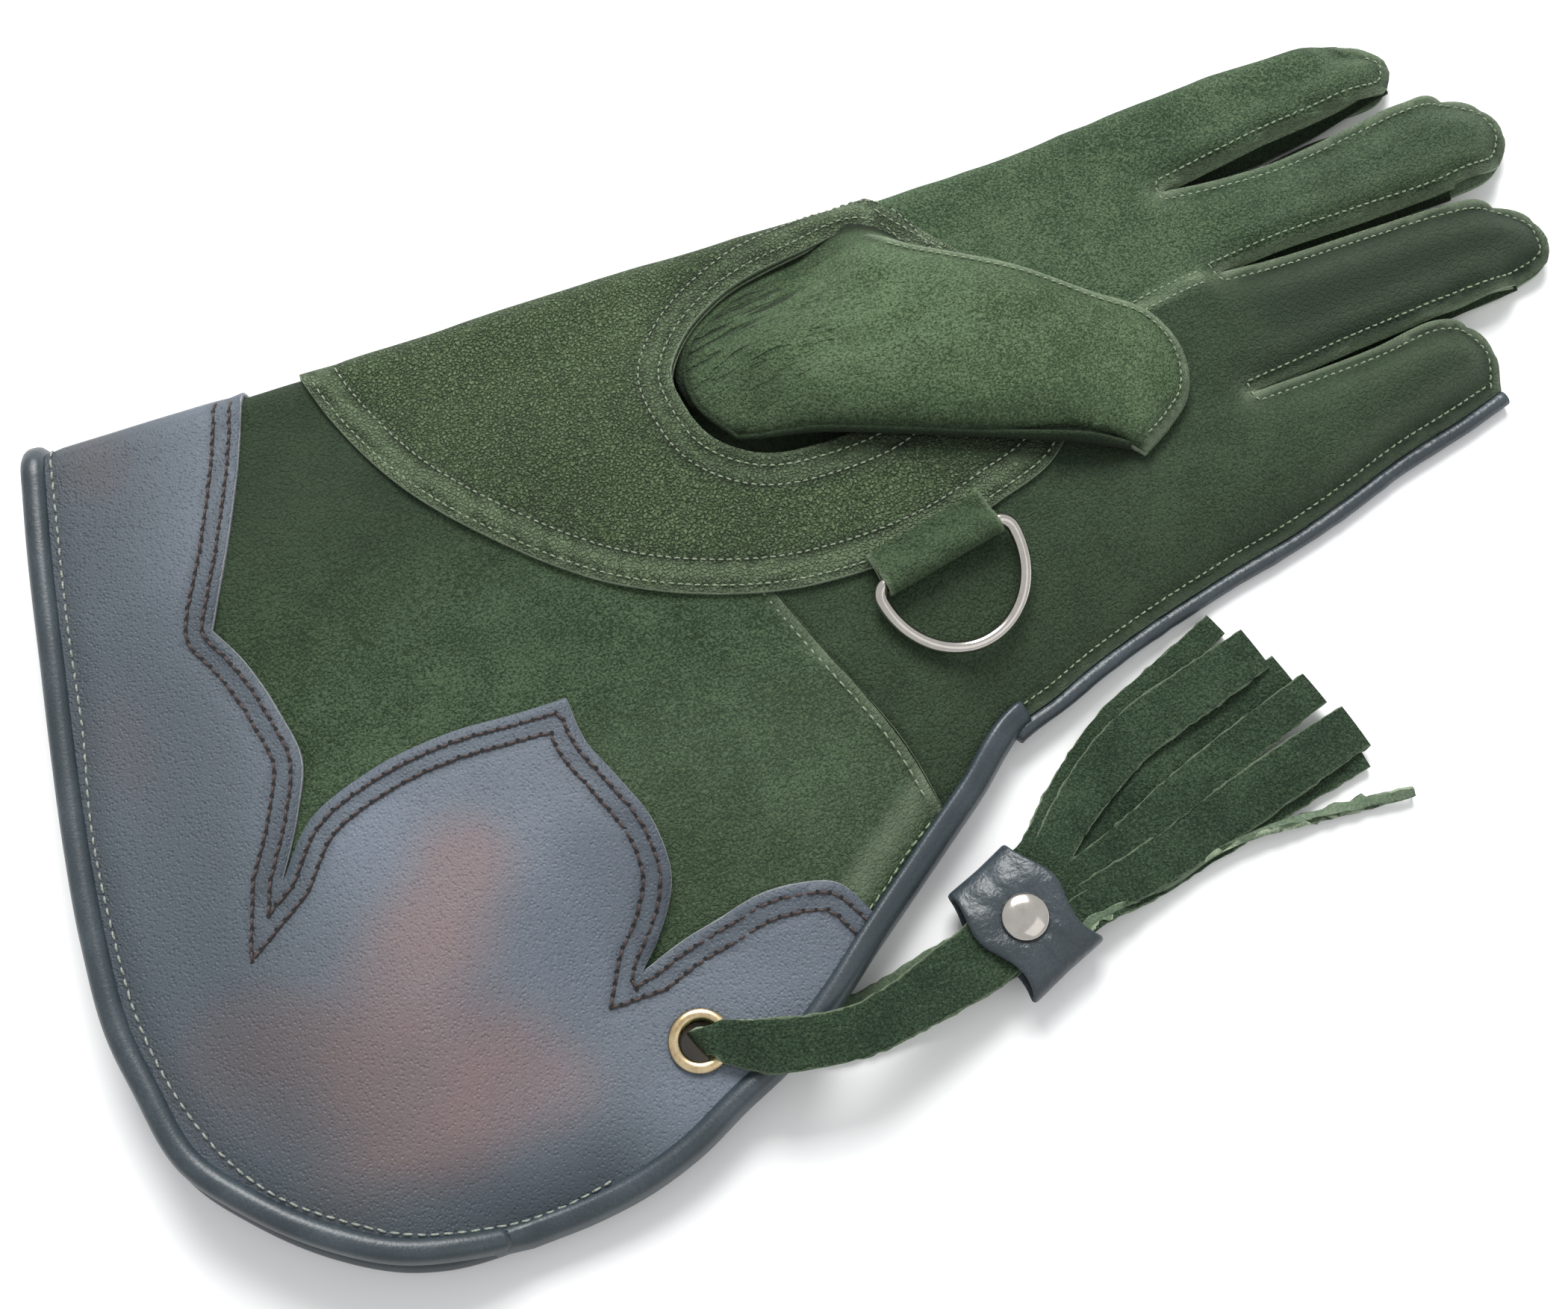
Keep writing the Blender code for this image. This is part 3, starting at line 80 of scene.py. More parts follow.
sideRows = ((-0.599, 0.980), (-0.515, 1.001), (-0.448, 1.040), (-0.378, 1.094), (-0.306, 1.158),
            (-0.249, 1.222), (-0.151, 1.312), (-0.095, 1.334), (-0.029, 1.322), (0.039, 1.252),
            (0.085, 1.198), (0.159, 1.105), (0.214, 1.077), (0.258, 1.049), (0.349, 1.002),
            (0.454, 0.960), (0.557, 0.926), (0.628, 0.894), (0.694, 0.860), (0.803, 0.818),
            (0.850, 0.796))
tipRows = ((0.842, -0.006, 1), (0.878, 0.022, 0), (0.898, 0.070, 0), (0.886, 0.114, 0),
           (0.806, 0.139, 0), (0.700, 0.158, 0), (0.560, 0.188, 1), (0.640, 0.205, 0),
           (0.703, 0.209, 0), (0.800, 0.192, 0), (0.880, 0.176, 0), (0.940, 0.181, 0),
           (0.980, 0.225, 0), (0.993, 0.290, 0), (0.972, 0.350, 0), (0.900, 0.375, 0),
           (0.780, 0.379, 0), (0.661, 0.380, 0), (0.585, 0.390, 1), (0.661, 0.400, 0),
           (0.780, 0.403, 0), (0.870, 0.408, 0), (0.940, 0.432, 0), (0.978, 0.490, 0),
           (0.975, 0.570, 0), (0.925, 0.602, 0), (0.836, 0.612, 0), (0.720, 0.624, 0),
           (0.562, 0.645, 1), (0.720, 0.640, 0), (0.800, 0.628, 0), (0.845, 0.650, 0),
           (0.862, 0.720, 0), (0.850, 0.796, 1))
gapRows = (((0.560, 0.188), (0.700, 0.184), (0.860, 0.145), (0.900, 0.135)),
           ((0.585, 0.390), (0.720, 0.391), (0.870, 0.393), (0.960, 0.393)),
           ((0.562, 0.645), (0.720, 0.632), (0.830, 0.621), (0.900, 0.618)))
tipEnds = (((0.842, -0.006), (0.878, 0.022), (0.898, 0.070), (0.886, 0.114)),
           ((0.940, 0.181), (0.980, 0.225), (0.993, 0.290), (0.972, 0.350)),
           ((0.940, 0.432), (0.978, 0.490), (0.975, 0.570), (0.925, 0.602)),
           ((0.845, 0.650), (0.862, 0.720), (0.850, 0.796)))
wristRows = ((-0.130, 0.006), (-0.120, 0.30), (-0.085, 0.58), (-0.030, 0.85), (0.030, 1.10),
             (0.048, 1.243))
holeRows = ((0.208, 0.105), (0.113, 0.099), (0.007, 0.140), (-0.056, 0.205), (-0.081, 0.254),
            (-0.081, 0.320), (-0.066, 0.397), (-0.018, 0.472), (0.067, 0.499), (0.150, 0.480),
            (0.205, 0.410), (0.228, 0.300), (0.225, 0.180))
dentRows = ((-0.50, 0.55, 0.30, 0.16, 0.16), (-0.16, 0.90, 0.26, 0.10, 0.20),
            (0.12, 0.80, 0.20, 0.12, 0.14), (0.46, 0.62, 0.16, 0.20, 0.20),
            (-0.80, 0.36, 0.24, 0.20, 0.20), (-0.66, 0.70, 0.30, 0.14, -0.10))
eyeletPlace = (-0.330, 1.034)
laceCrossing = (-0.215, 1.270)


def smooth(t):
    t = np.clip(t, 0.0, 1.0)
    return t * t * (3.0 - 2.0 * t)


def bell(away, width):
    return np.exp(-((away / width) ** 2))


def unit(rows):
    return rows / np.linalg.norm(rows, axis=1)[:, None]


def leftOf(run):
    return np.stack([-run[:, 1], run[:, 0]], 1)


def walked(line):  # the length from a line's start to each of its points
    return np.concatenate([[0.0], np.cumsum(np.linalg.norm(np.diff(line, axis=0), axis=1))])


def softRows(x, rows):  # a smooth line through rows of place and value, read at x
    places, values = np.array([r[0] for r in rows]), np.array([r[1] for r in rows])
    slopes = np.gradient(values, places)
    i = np.clip(np.searchsorted(places, x) - 1, 0, len(places) - 2)
    span = places[i + 1] - places[i]
    t = np.clip((x - places[i]) / span, 0.0, 1.0)
    return (values[i] + (values[i + 1] - values[i]) * t * t * (3 - 2 * t)
            + slopes[i] * span * t * (1 - t) ** 2 - slopes[i + 1] * span * t * t * (1 - t))


def crossWidth(along):
    return palmWidth + (mouthWidth - palmWidth) * smooth(-along / sizes["widthBlend"])


def planX(along):
    along = np.asarray(along, float)
    return sizes["wristX"] + along * np.where(along > 0, handLength, gauntletLength)


def shareAlong(x):
    reach = np.asarray(x, float) - sizes["wristX"]
    return reach / np.where(reach > 0, handLength, gauntletLength)


def plan(rows):
    table = np.array([row[:2] for row in rows], float)
    return np.stack([planX(table[:, 0]),
                     sizes["foldReach"] - table[:, 1] * crossWidth(table[:, 0])], 1)


def smoothCurve(points, step, closed=False, corners=None):  # sharp only at its corners
    points = np.asarray(points, float)
    count = len(points)
    corners = corners or [0] * count
    spans = count if closed else count - 1
    lengths = np.array([np.linalg.norm(points[(i + 1) % count] - points[i]) for i in range(spans)])
    found = []
    for i in range(spans):
        here, there = points[i], points[(i + 1) % count]
        length = lengths[i]
        chord = (there - here) / length
        leave, arrive = chord, chord
        if not corners[i] and (closed or i > 0):
            before = (here - points[i - 1]) / lengths[i - 1]
            leave = (before * length + chord * lengths[i - 1]) / (length + lengths[i - 1])
        if not corners[(i + 1) % count] and (closed or i < spans - 1):
            after = (points[(i + 2) % count] - there) / lengths[(i + 1) % spans]
            ahead = lengths[(i + 1) % spans]
            arrive = (chord * ahead + after * length) / (length + ahead)
        for t in np.arange(max(1, round(length / step))) / max(1, round(length / step)):
            found.append(here * (1 + 2 * t) * (1 - t) ** 2 + there * t * t * (3 - 2 * t)
                         + leave * length * t * (1 - t) ** 2 - arrive * length * t * t * (1 - t))
    if not closed:
        found.append(points[-1])
    return np.array(found)


def curveOf(rows, step, closed=False):
    return smoothCurve(plan(rows), step, closed, [row[2] if len(row) > 2 else 0 for row in rows])


def distanceTo(points, line):
    best = np.full(len(points), 1e9)
    for start, end in zip(line[:-1], line[1:]):
        along = end - start
        t = np.clip((points - start) @ along / max(along @ along, 1e-12), 0, 1)
        best = np.minimum(best, ((points - start - t[:, None] * along) ** 2).sum(axis=1))
    return np.sqrt(best)


def insideLoop(points, loop):
    inside = np.zeros(len(points), bool)
    x, y = points[:, 0], points[:, 1]
    for (ax, ay), (bx, by) in zip(loop, np.roll(loop, -1, axis=0)):
        if ay != by:
            inside ^= ((ay > y) != (by > y)) & (x < (bx - ax) * (y - ay) / (by - ay) + ax)
    return inside


def offsetCurve(points, distance, closed=False):  # moved to the left of its run
    if closed:
        ahead, behind = np.roll(points, -1, axis=0), np.roll(points, 1, axis=0)
    else:
        ahead = np.concatenate([points[1:], points[-1:]])
        behind = np.concatenate([points[:1], points[:-1]])
    return points + distance * leftOf(unit(ahead - behind))


def cloud(x, y, size, seed):  # soft seeded noise from -1 to 1
    table = np.random.default_rng(seed).random((64, 64)) * 2 - 1
    u, v = x / size + 31.7, y / size + 17.3
    i, j = np.floor(u).astype(int), np.floor(v).astype(int)
    s, t = smooth(u - i), smooth(v - j)
    a, b = table[i % 64, j % 64], table[(i + 1) % 64, j % 64]
    c, d = table[i % 64, (j + 1) % 64], table[(i + 1) % 64, (j + 1) % 64]
    return (a * (1 - s) + b * s) * (1 - t) + (c * (1 - s) + d * s) * t


sideLine, rimLine = plan(sideRows), plan(rimRows)
tipLines = [plan(rows) for rows in tipEnds]
gapLines = [plan(rows) for rows in gapRows]
eyeletPoint, crossingPoint = plan([eyeletPlace])[0], plan([laceCrossing])[0]


def foldLine(x):
    along = shareAlong(x)
    return sizes["foldReach"] - softRows(along, foldRows) * crossWidth(along)


def foldSize(x):
    return sizes["tipRadius"] + (foldRadius - sizes["tipRadius"]) * smooth(
        (planX(sizes["foldEnd"]) + sizes["foldEase"] - x) / sizes["tipFall"])


def backLevel(x, y):  # the back's height, which rides over the roll and the lace at the cuff
    lace = distanceTo(np.stack([x, y], 1), np.array([eyeletPoint, crossingPoint]))
    rim = sizes["rimLayer"] * smooth((sizes["levelEnd"] - x) / sizes["levelRamp"])
    return rim + (sizes["laceRise"] - sizes["rimLayer"]) * smooth(
        (sizes["laceReach"] + sizes["levelFlat"] - lace) / sizes["laceReach"])


def palmTop(x, y):
    points = np.stack([x, y], 1)
    along = shareAlong(x)
    start = foldLine(x) - foldSize(x)
    level = backLevel(x, y)
    crown = 2 * foldRadius * (1 + (softRows(along, crownRows) - 1) * smooth(
        (start - y) / sizes["crownReach"]))
    toSide = distanceTo(points, sideLine)
    swell = np.clip(toSide / (softRows(along, swellRows) * palmWidth), 0, 1)
    fall = np.ones(len(x))
    for line in tipLines:
        fall = np.minimum(fall, np.clip(distanceTo(points, line) / sizes["tipFall"], 0, 1))
    lift = (1 - (1 - swell) ** 2) * (1 - (1 - fall) ** 2.2)
    for line in gapLines:
        crown = crown - sizes["gapDip"] * bell(distanceTo(points, line), sizes["gapSpread"]) * fall
    for row in dentRows:
        away = ((points - plan([row])[0]) / (np.array(row[2:4]) * palmWidth)) ** 2
        crown = crown - row[4] * foldRadius * np.exp(-away.sum(axis=1))
    fromEyelet = np.linalg.norm(points - eyeletPoint, axis=1)
    pinch = smooth((sizes["pinchReach"] + sizes["levelFlat"] - fromEyelet) / sizes["pinchReach"])
    height = level + seamStack + (crown - seamStack) * lift * (1 - pinch)
    nearFold = smooth((start - y) / sizes["foldBlend"])
    return (1 - nearFold) * (backLevel(x, start) + 2 * foldSize(x)) + nearFold * height


def skinPlace(x, turn):  # turn from -1 to 1 is the fold's arc, less the palm, more the back
    radius = foldSize(x)
    start = foldLine(x) - radius
    angle = -np.clip(turn, -1, 1) * pi / 2
    y = start + radius * np.cos(angle) - np.clip(np.abs(turn) - 1, 0, None) * foldArc
    arc = backLevel(x, start) + radius * (1 + np.sin(angle))
    z = np.where(turn < -1, palmTop(x, y), np.where(turn > 1, backLevel(x, y), arc))
    return np.stack([x, y, z], 1)


def skin(pattern, lift):
    x, turn = pattern[:, 0], pattern[:, 1]
    across = skinPlace(x, turn + small) - skinPlace(x, turn - small)
    along = skinPlace(x + small, turn) - skinPlace(x - small, turn)
    normal = unit(np.cross(along, across))
    return skinPlace(x, turn) + normal * np.reshape(lift, (-1, 1))


def toPattern(points, side):
    start = foldLine(points[:, 0]) - foldSize(points[:, 0])
    beyond = (start - points[:, 1]) / foldArc
    arc = np.arccos(np.clip((points[:, 1] - start) / foldSize(points[:, 0]), 0, 1)) * 2 / pi
    return np.stack([points[:, 0], side * np.where(beyond > 0, 1 + beyond, arc)], 1)


def toPlan(pattern):
    return skinPlace(pattern[:, 0], pattern[:, 1])[:, :2]


def foldSpread(turn):
    return foldArc * (turn + 2 * np.clip(turn, -1, 1))


def foldGather(spread):
    return spread / foldArc - 2 * np.clip(spread / (3 * foldArc), -1, 1)


def flatMesh(outer, holes, along, across, spread=lambda t: t, gather=lambda t: t):
    clear = sizes["clearOfEdge"] * along
    loops, points, edges = [outer] + list(holes), [], []
    for loop in loops:
        first = len(points)
        points += [tuple(p) for p in loop]
        edges += [(first + i, first + (i + 1) % len(loop)) for i in range(len(loop))]
    low, high = outer.min(axis=0), outer.max(axis=0)
    xs = np.arange(np.ceil(low[0] / along), high[0] / along) * along
    ts = np.arange(np.ceil(low[1] / across), high[1] / across) * across
    gx, gt = np.meshgrid(xs, ts, indexing="ij")
    gx = gx + (np.arange(len(ts)) % 2)[None, :] * along / 2  # rows stand half a step apart
    grid = np.column_stack([gx.ravel(), gt.ravel()])
    keep = insideLoop(grid, outer)
    for hole in holes:
        keep &= ~insideLoop(grid, hole)
    wide = np.column_stack([grid[:, 0], spread(grid[:, 1])])
    for loop in loops:
        ring = np.concatenate([loop, loop[:1]])
        keep &= distanceTo(wide, np.column_stack([ring[:, 0], spread(ring[:, 1])])) > clear
    points += [tuple(p) for p in grid[keep]]
    flat = [Vector((p[0], float(spread(p[1])))) for p in points]
    found = delaunay_2d_cdt(flat, edges, [], 2, 1e-7)
    verts = np.array([(v.x, float(gather(v.y))) for v in found[0]])
    centres = np.array([verts[list(face)].mean(axis=0) for face in found[2]])
    solid = insideLoop(centres, outer)
    for hole in holes:
        solid &= ~insideLoop(centres, hole)
    return verts, [tuple(face) for face, kept in zip(found[2], solid) if kept]


def piece(name, verts, faces, finishes, replaced=(), marks=None, body="glove"):
    mesh = bpy.data.meshes.new(name)
    mesh.from_pydata([tuple(map(float, v)) for v in verts], [],
                     [tuple(map(int, f)) for f in faces])
    mesh.validate()
    for material in finishes:
        mesh.materials.append(material)
    for mark, values in (marks or {}).items():
        mesh.attributes.new(mark, "FLOAT", "POINT").data.foreach_set(
            "value", np.asarray(values, np.float32))
    mesh.update()
    mesh.shade_smooth()
    obj = bpy.data.objects.new(name, mesh)
    bpy.context.scene.collection.objects.link(obj)
    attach(obj, body)
    if replaced:
        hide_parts(*replaced)
    return obj


def thicken(obj, wall, outward=False, inside=0, rim=0):
    modifier = obj.modifiers.new("Leather", "SOLIDIFY")
    modifier.thickness = wall
    modifier.offset = 1.0 if outward else -1.0
    modifier.use_even_offset = False
    modifier.material_offset = inside
    modifier.material_offset_rim = rim


def faceOut(obj, weld=False):
    work = bmesh.new()
    work.from_mesh(obj.data)
    if weld:
        bmesh.ops.remove_doubles(work, verts=work.verts, dist=1e-6)
    bmesh.ops.recalc_face_normals(work, faces=work.faces)
    work.to_mesh(obj.data)
    work.free()


def gridFaces(rows, columns, closed=False):
    faces = []
    for i in range(rows - 1):
        for j in range(columns if closed else columns - 1):
            k = (j + 1) % columns
            faces.append((i * columns + j, i * columns + k, (i + 1) * columns + k,
                          (i + 1) * columns + j))
    return faces


def resample(line, step):  # an even walk along a line, its ends kept
    line = np.asarray(line, float)
    run = walked(line)
    places = np.linspace(0, run[-1], max(2, int(round(run[-1] / step)) + 1))
    return np.column_stack([np.interp(places, run, line[:, i]) for i in range(line.shape[1])])


def insetLine(line, distance):  # a line kept that far to the left of another, loops dropped
    dense = resample(line, 0.0008)
    moved = offsetCurve(dense, distance)
    return moved[distanceTo(moved, dense) > abs(distance) * 0.97]


def refineAtFold(pattern):
    found = []
    for here, there in zip(pattern[:-1], pattern[1:]):
        found.append(here)
        low, high = sorted((here[1], there[1]))
        for turn in sorted((k / 6 for k in range(-6, 7)), reverse=bool(there[1] < here[1])):
            if low + 1e-3 < turn < high - 1e-3:
                found.append(here + (there - here) * (turn - here[1]) / (there[1] - here[1]))
    return np.array(found + [pattern[-1]])


def fromFold(points):
    points = points.copy()
    points[0, 1] = foldLine(points[:1, 0])[0]
    return points


def between(line, low, high):
    inner = line[(line[:, 0] > low + 1e-4) & (line[:, 0] < high - 1e-4)]
    ends = [(x, np.interp(x, line[:, 0], line[:, 1])) for x in (low, high)]
    return np.concatenate([ends[:1], inner, ends[1:]])


def cutAt(line, length):
    run = walked(line)
    cut = [[np.interp(length, run, line[:, 0]), np.interp(length, run, line[:, 1])]]
    first, rest = line[run < length - 1e-3], line[run > length + 1e-3]
    return np.concatenate([first, cut]), np.concatenate([cut, rest])


def patternLoop(palmEdge, backEdge):
    palm = refineAtFold(toPattern(palmEdge, -1))
    back = refineAtFold(toPattern(backEdge, 1))[::-1]
    return np.concatenate([palm, back[1:-1]])


sideCurve = smoothCurve(sideLine, edgeStep)
rimCurve = fromFold(smoothCurve(rimLine, edgeStep))
wristCurve = fromFold(curveOf(wristRows, edgeStep))
wristCurve[-1, 1] = np.interp(wristCurve[-1, 0], sideCurve[:, 0], sideCurve[:, 1])
tipCurve = fromFold(curveOf(tipRows, fineStep))
rimToCorner = np.linalg.norm(rimCurve - rimCurve[-1], axis=1)
backRimCurve = rimCurve.copy()
backRimCurve[:, 0] -= sizes["backShift"] * smooth(rimToCorner / 0.05) * smooth(
    (sizes["foldReach"] - rimCurve[:, 1]) / 0.08)
backRimCurve[:, 1] -= sizes["backShift"] * smooth(rimToCorner / 0.02) * smooth(
    (sizes["foldReach"] - rimCurve[:, 1] - 0.12) / 0.06)
holeCurve = curveOf(holeRows, edgeStep, True)
print("measures ready")


class Tone:  # a socket that takes part in Python sums
    def __init__(self, tree, socket):
        self.tree, self.socket = tree, socket

    def node(self, kind, settings=(), inputs=(), output=0):
        made = self.tree.nodes.new(kind)
        for key, value in dict(settings).items():
            if key == "stops":
                ramp = made.color_ramp
                while len(ramp.elements) < len(value):
                    ramp.elements.new(0.5)
                for element, (place, colour) in zip(ramp.elements, value):
                    element.position = place
                    element.color = (*colour, 1.0)
            else:
                setattr(made, key, value)
        for key, value in dict(inputs).items():
            if isinstance(value, Tone):
                self.tree.links.new(value.socket, made.inputs[key])
            else:
                made.inputs[key].default_value = value
        return Tone(self.tree, made.outputs[output])

    def sum(self, kind, first, second):
        return self.node("ShaderNodeMath", {"operation": kind}, {0: first, 1: second})

    def __add__(self, other): return self.sum("ADD", self, other)
    def __radd__(self, other): return self.sum("ADD", other, self)
    def __sub__(self, other): return self.sum("SUBTRACT", self, other)
    def __rsub__(self, other): return self.sum("SUBTRACT", other, self)
    def __mul__(self, other): return self.sum("MULTIPLY", self, other)
    def __rmul__(self, other): return self.sum("MULTIPLY", other, self)
    def __truediv__(self, other): return self.sum("DIVIDE", self, other)

    def bounded(self):
        return self.node("ShaderNodeClamp", {}, {0: self})

    def step(self, low, high):
        return self.node("ShaderNodeMapRange", {"interpolation_type": "SMOOTHSTEP"},
                         {0: self, 1: low, 2: high, 3: 0.0, 4: 1.0})

    def noise(self, size, detail=3.0, rough=0.55):  # size in metres
        return self.node("ShaderNodeTexNoise", {}, {"Vector": self, "Scale": 1 / size,
                                                    "Detail": detail, "Roughness": rough})

    def cells(self, size, feature="F1"):
        return self.node("ShaderNodeTexVoronoi", {"feature": feature},
                         {"Vector": self, "Scale": 1 / size})

    def stretched(self, scale):
        return self.node("ShaderNodeVectorMath", {"operation": "MULTIPLY"}, {0: self, 1: scale})

    def ramp(self, *stops):
        return self.node("ShaderNodeValToRGB", {"stops": stops}, {0: self})

    def mixed(self, other, share):  # two colours
        if not isinstance(other, Tone):
            other = self.colour(*other)
        return self.node("ShaderNodeMix", {"data_type": "RGBA"}, {0: share, 6: self, 7: other}, 2)

    def mark(self, name):
        return self.node("ShaderNodeAttribute", {"attribute_name": name}, {}, 2)

    def colour(self, red, green, blue):
        made = self.node("ShaderNodeRGB")
        made.socket.default_value = (red, green, blue, 1.0)
        return made

    def bump(self, height, strength, distance, normal=None):
        inputs = {"Height": height, "Strength": strength, "Distance": distance}
        if normal:
            inputs["Normal"] = normal
        return self.node("ShaderNodeBump", {}, inputs)


def finish(name, roughness=0.8, metallic=0.0, sheen=0.0, specular=0.5):
    material = bpy.data.materials.new(name)
    material.use_nodes = True
    tree = material.node_tree
    shader = tree.nodes["Principled BSDF"]
    for key, value in (("Roughness", roughness), ("Metallic", metallic), ("Sheen Weight", sheen),
                       ("Sheen Roughness", 0.6), ("Specular IOR Level", specular)):
        shader.inputs[key].default_value = value
    place = tree.nodes.new("ShaderNodeTexCoord")
    start = Tone(tree, place.outputs["Object"])

    def feed(socket, tone):
        tree.links.new(tone.socket, shader.inputs[socket])

    return material, start, feed


def napLeather(name, dark, mid, light, grain=0.0006, nap=1.0, wearLightAndShade=False, sheen=0.02,
               deep=(0.019, 0.031, 0.018), creased=False):
    material, place, feed = finish(name, 0.88, sheen=sheen, specular=0.15)
    fine = place.noise(grain, 4.0, 0.65)
    patchy = place.noise(0.009, 3.0)
    broad = place.noise(0.045, 2.0)
    tone = 0.5 + (fine - 0.5) * 3.0 * nap + (patchy - 0.5) * 0.55 + (broad - 0.5) * 0.50
    base = tone.ramp((0.22, dark), (0.5, mid), (0.80, light))
    if wearLightAndShade:  # paler along sewn edges where worn, with some painted light in places; darker by the deep and shade marks, which paint shade
        base = base.mixed(deep, place.mark("deep") * (0.55 + 0.35 * fine))
        worn = place.mark("worn") * (0.55 + 0.9 * place.noise(0.004))
        base = base.mixed((0.215, 0.275, 0.180), worn.bounded())
        base = base.mixed([c * 0.30 for c in dark], place.mark("shade").bounded())
    if creased:  # fine gathers that run along the thumb from its root; their lines are darkened as painted shade
        gathers = place.stretched((0.14, 1.0, 0.3)).noise(0.0017, 2.0, 0.5)
        lines = (1 - gathers.step(0.30, 0.47)) * place.mark("crease")
        base = base.mixed([c * 0.35 for c in dark], (lines * 0.85).bounded())
    feed("Base Color", base)
    feed("Roughness", 0.66 + 0.26 * fine)
    creases = place.cells(0.0017, "DISTANCE_TO_EDGE")
    height = fine * 0.9 + creases.step(0.0, 0.16) * 0.30 + patchy * 0.5
    if creased:
        height = height - lines * 3.0
    feed("Normal", place.bump(height, 0.95, 0.0008))
    return material


def pebbledLeather(name):
    material, place, feed = finish(name, 0.66, sheen=0.015, specular=0.22)
    wobble = place.node("ShaderNodeVectorMath", {"operation": "MULTIPLY_ADD"},
                        {0: place.node("ShaderNodeTexNoise", {}, {"Vector": place, "Scale": 320.0},
                                       1), 1: (0.0014, 0.0014, 0.0014), 2: place})
    cells = wobble.cells(0.00105, "DISTANCE_TO_EDGE").step(0.0, 0.28)
    fine = place.noise(0.00055, 3.0)
    broad = place.noise(0.034, 2.5)
    tone = 0.5 + (cells - 0.7) * 0.22 + (fine - 0.5) * 2.6 + (broad - 0.5) * 0.5
    base = tone.ramp((0.15, (0.024, 0.043, 0.016)), (0.5, (0.060, 0.095, 0.041)),
                     (0.85, (0.124, 0.176, 0.092)))
    worn = place.mark("worn") * (0.5 + 0.9 * place.noise(0.003))
    base = base.mixed((0.175, 0.235, 0.140), worn.bounded())
    base = base.mixed((0.014, 0.022, 0.012), place.mark("shade").bounded())
    feed("Base Color", base)
    feed("Roughness", 0.80 - 0.20 * cells)
    feed("Normal", place.bump(cells * 1.0 + fine * 0.8, 0.95, 0.0009))
    return material


def slateLeather(name):
    material, place, feed = finish(name, 0.45, sheen=0.0, specular=0.42)
    fine = place.noise(0.00055, 3.0)
    pores = place.cells(0.0011).step(0.10, 0.45)
    broad = place.noise(0.05, 2.0)
    tone = 0.5 + (fine - 0.5) * 0.8 + (broad - 0.5) * 0.8
    base = tone.ramp((0.2, (0.070, 0.082, 0.098)), (0.5, (0.100, 0.121, 0.150)),
                     (0.85, (0.145, 0.172, 0.212)))
    stain = (place.mark("stain") * (0.75 + 0.5 * place.noise(0.012))).bounded()
    brown = place.colour(0.112, 0.077, 0.077).mixed((0.214, 0.150, 0.149), fine)
    base = base.mixed(brown, stain)
    # the deep mark is painted shade
    base = base.mixed((0.022, 0.034, 0.041), place.mark("deep"))
    base = base.mixed((0.020, 0.020, 0.026), place.mark("shade").bounded())
    feed("Base Color", base)
    feed("Roughness", 0.40 + 0.14 * fine + 0.06 * broad)
    feed("Normal", place.bump(pores * 0.6 + fine * 1.0, 0.6, 0.00045))
    return material


def navyLeather(name, creased=0.0, dim=1.0):  # creased cross wrinkles by the run mark
    material, place, feed = finish(name, 0.42, specular=0.55)
    stops = [(at, [c * dim for c in colour]) for at, colour in (
        (0.2, (0.013, 0.021, 0.026)), (0.5, (0.025, 0.037, 0.045)), (0.85, (0.052, 0.070, 0.082)))]
    fine = place.noise(0.0006, 3.0)
    broad = place.noise(0.02, 2.0)
    tone = 0.5 + (fine - 0.5) * 0.5 + (broad - 0.5) * 0.9
    base = tone.ramp(*stops).mixed((0.010, 0.013, 0.017), place.mark("shade").bounded())
    feed("Base Color", base)
    feed("Roughness", 0.30 + 0.16 * fine)
    run = place.node("ShaderNodeCombineXYZ", {}, {0: place.mark("run"), 1: place.mark("side")})
    wrinkle = run.noise(0.0016, 2.0, 0.5)
    feed("Normal", place.bump(fine * 0.4 + wrinkle * creased, 0.45, 0.00035))
    return material


def paleLeather(name, dark, light, grain=0.0007):
    material, place, feed = finish(name, 0.95, sheen=0.05, specular=0.15)
    tone = 0.5 + (place.noise(grain, 4.0, 0.7) - 0.5) * 1.5 + (place.noise(0.006) - 0.5) * 0.7
    feed("Base Color", tone.ramp((0.15, dark), (0.85, light)))
    feed("Normal", place.bump(place.noise(grain, 4.0, 0.7), 0.8, 0.0004))
    return material


def thread(name, dark, light, roughness=0.62):
    material, place, feed = finish(name, roughness, sheen=0.1, specular=0.4)
    twist = place.noise(0.00045, 2.0)
    feed("Base Color", twist.ramp((0.3, dark), (0.7, light)))
    feed("Normal", place.bump(twist, 0.6, 0.0002))
    return material


def plate(name, dark, light, roughness):
    material, place, feed = finish(name, roughness, 1.0)
    worn = place.noise(0.004, 4.0, 0.7)
    feed("Base Color", worn.ramp((0.3, dark), (0.65, light)))
    feed("Roughness", roughness + 0.10 * (worn - 0.4))
    feed("Normal", place.bump(place.noise(0.0030), 0.08, 0.0001))
    return material


handNap = napLeather("hand_nap", (0.023, 0.044, 0.020), (0.049, 0.085, 0.041),
                     (0.092, 0.138, 0.076), wearLightAndShade=True)
gauntletNap = napLeather("gauntlet_nap", (0.019, 0.037, 0.017), (0.039, 0.067, 0.032),
                         (0.072, 0.111, 0.060), wearLightAndShade=True)
thumbNap = napLeather("thumb_nap", (0.028, 0.052, 0.021), (0.062, 0.104, 0.047),
                      (0.110, 0.166, 0.088), wearLightAndShade=True, creased=True)
laceNap = napLeather("lace_nap", (0.011, 0.023, 0.012), (0.024, 0.045, 0.023),
                     (0.054, 0.085, 0.049), nap=0.7, wearLightAndShade=True)
patchGrain = pebbledLeather("patch_grain")
facingGrain = slateLeather("facing_grain")
navyGrain = navyLeather("navy_grain", 0.35)
pipingGrain = navyLeather("piping_grain", 1.6, 0.90)
bandGrain = navyLeather("band_grain", 1.8, 0.85)
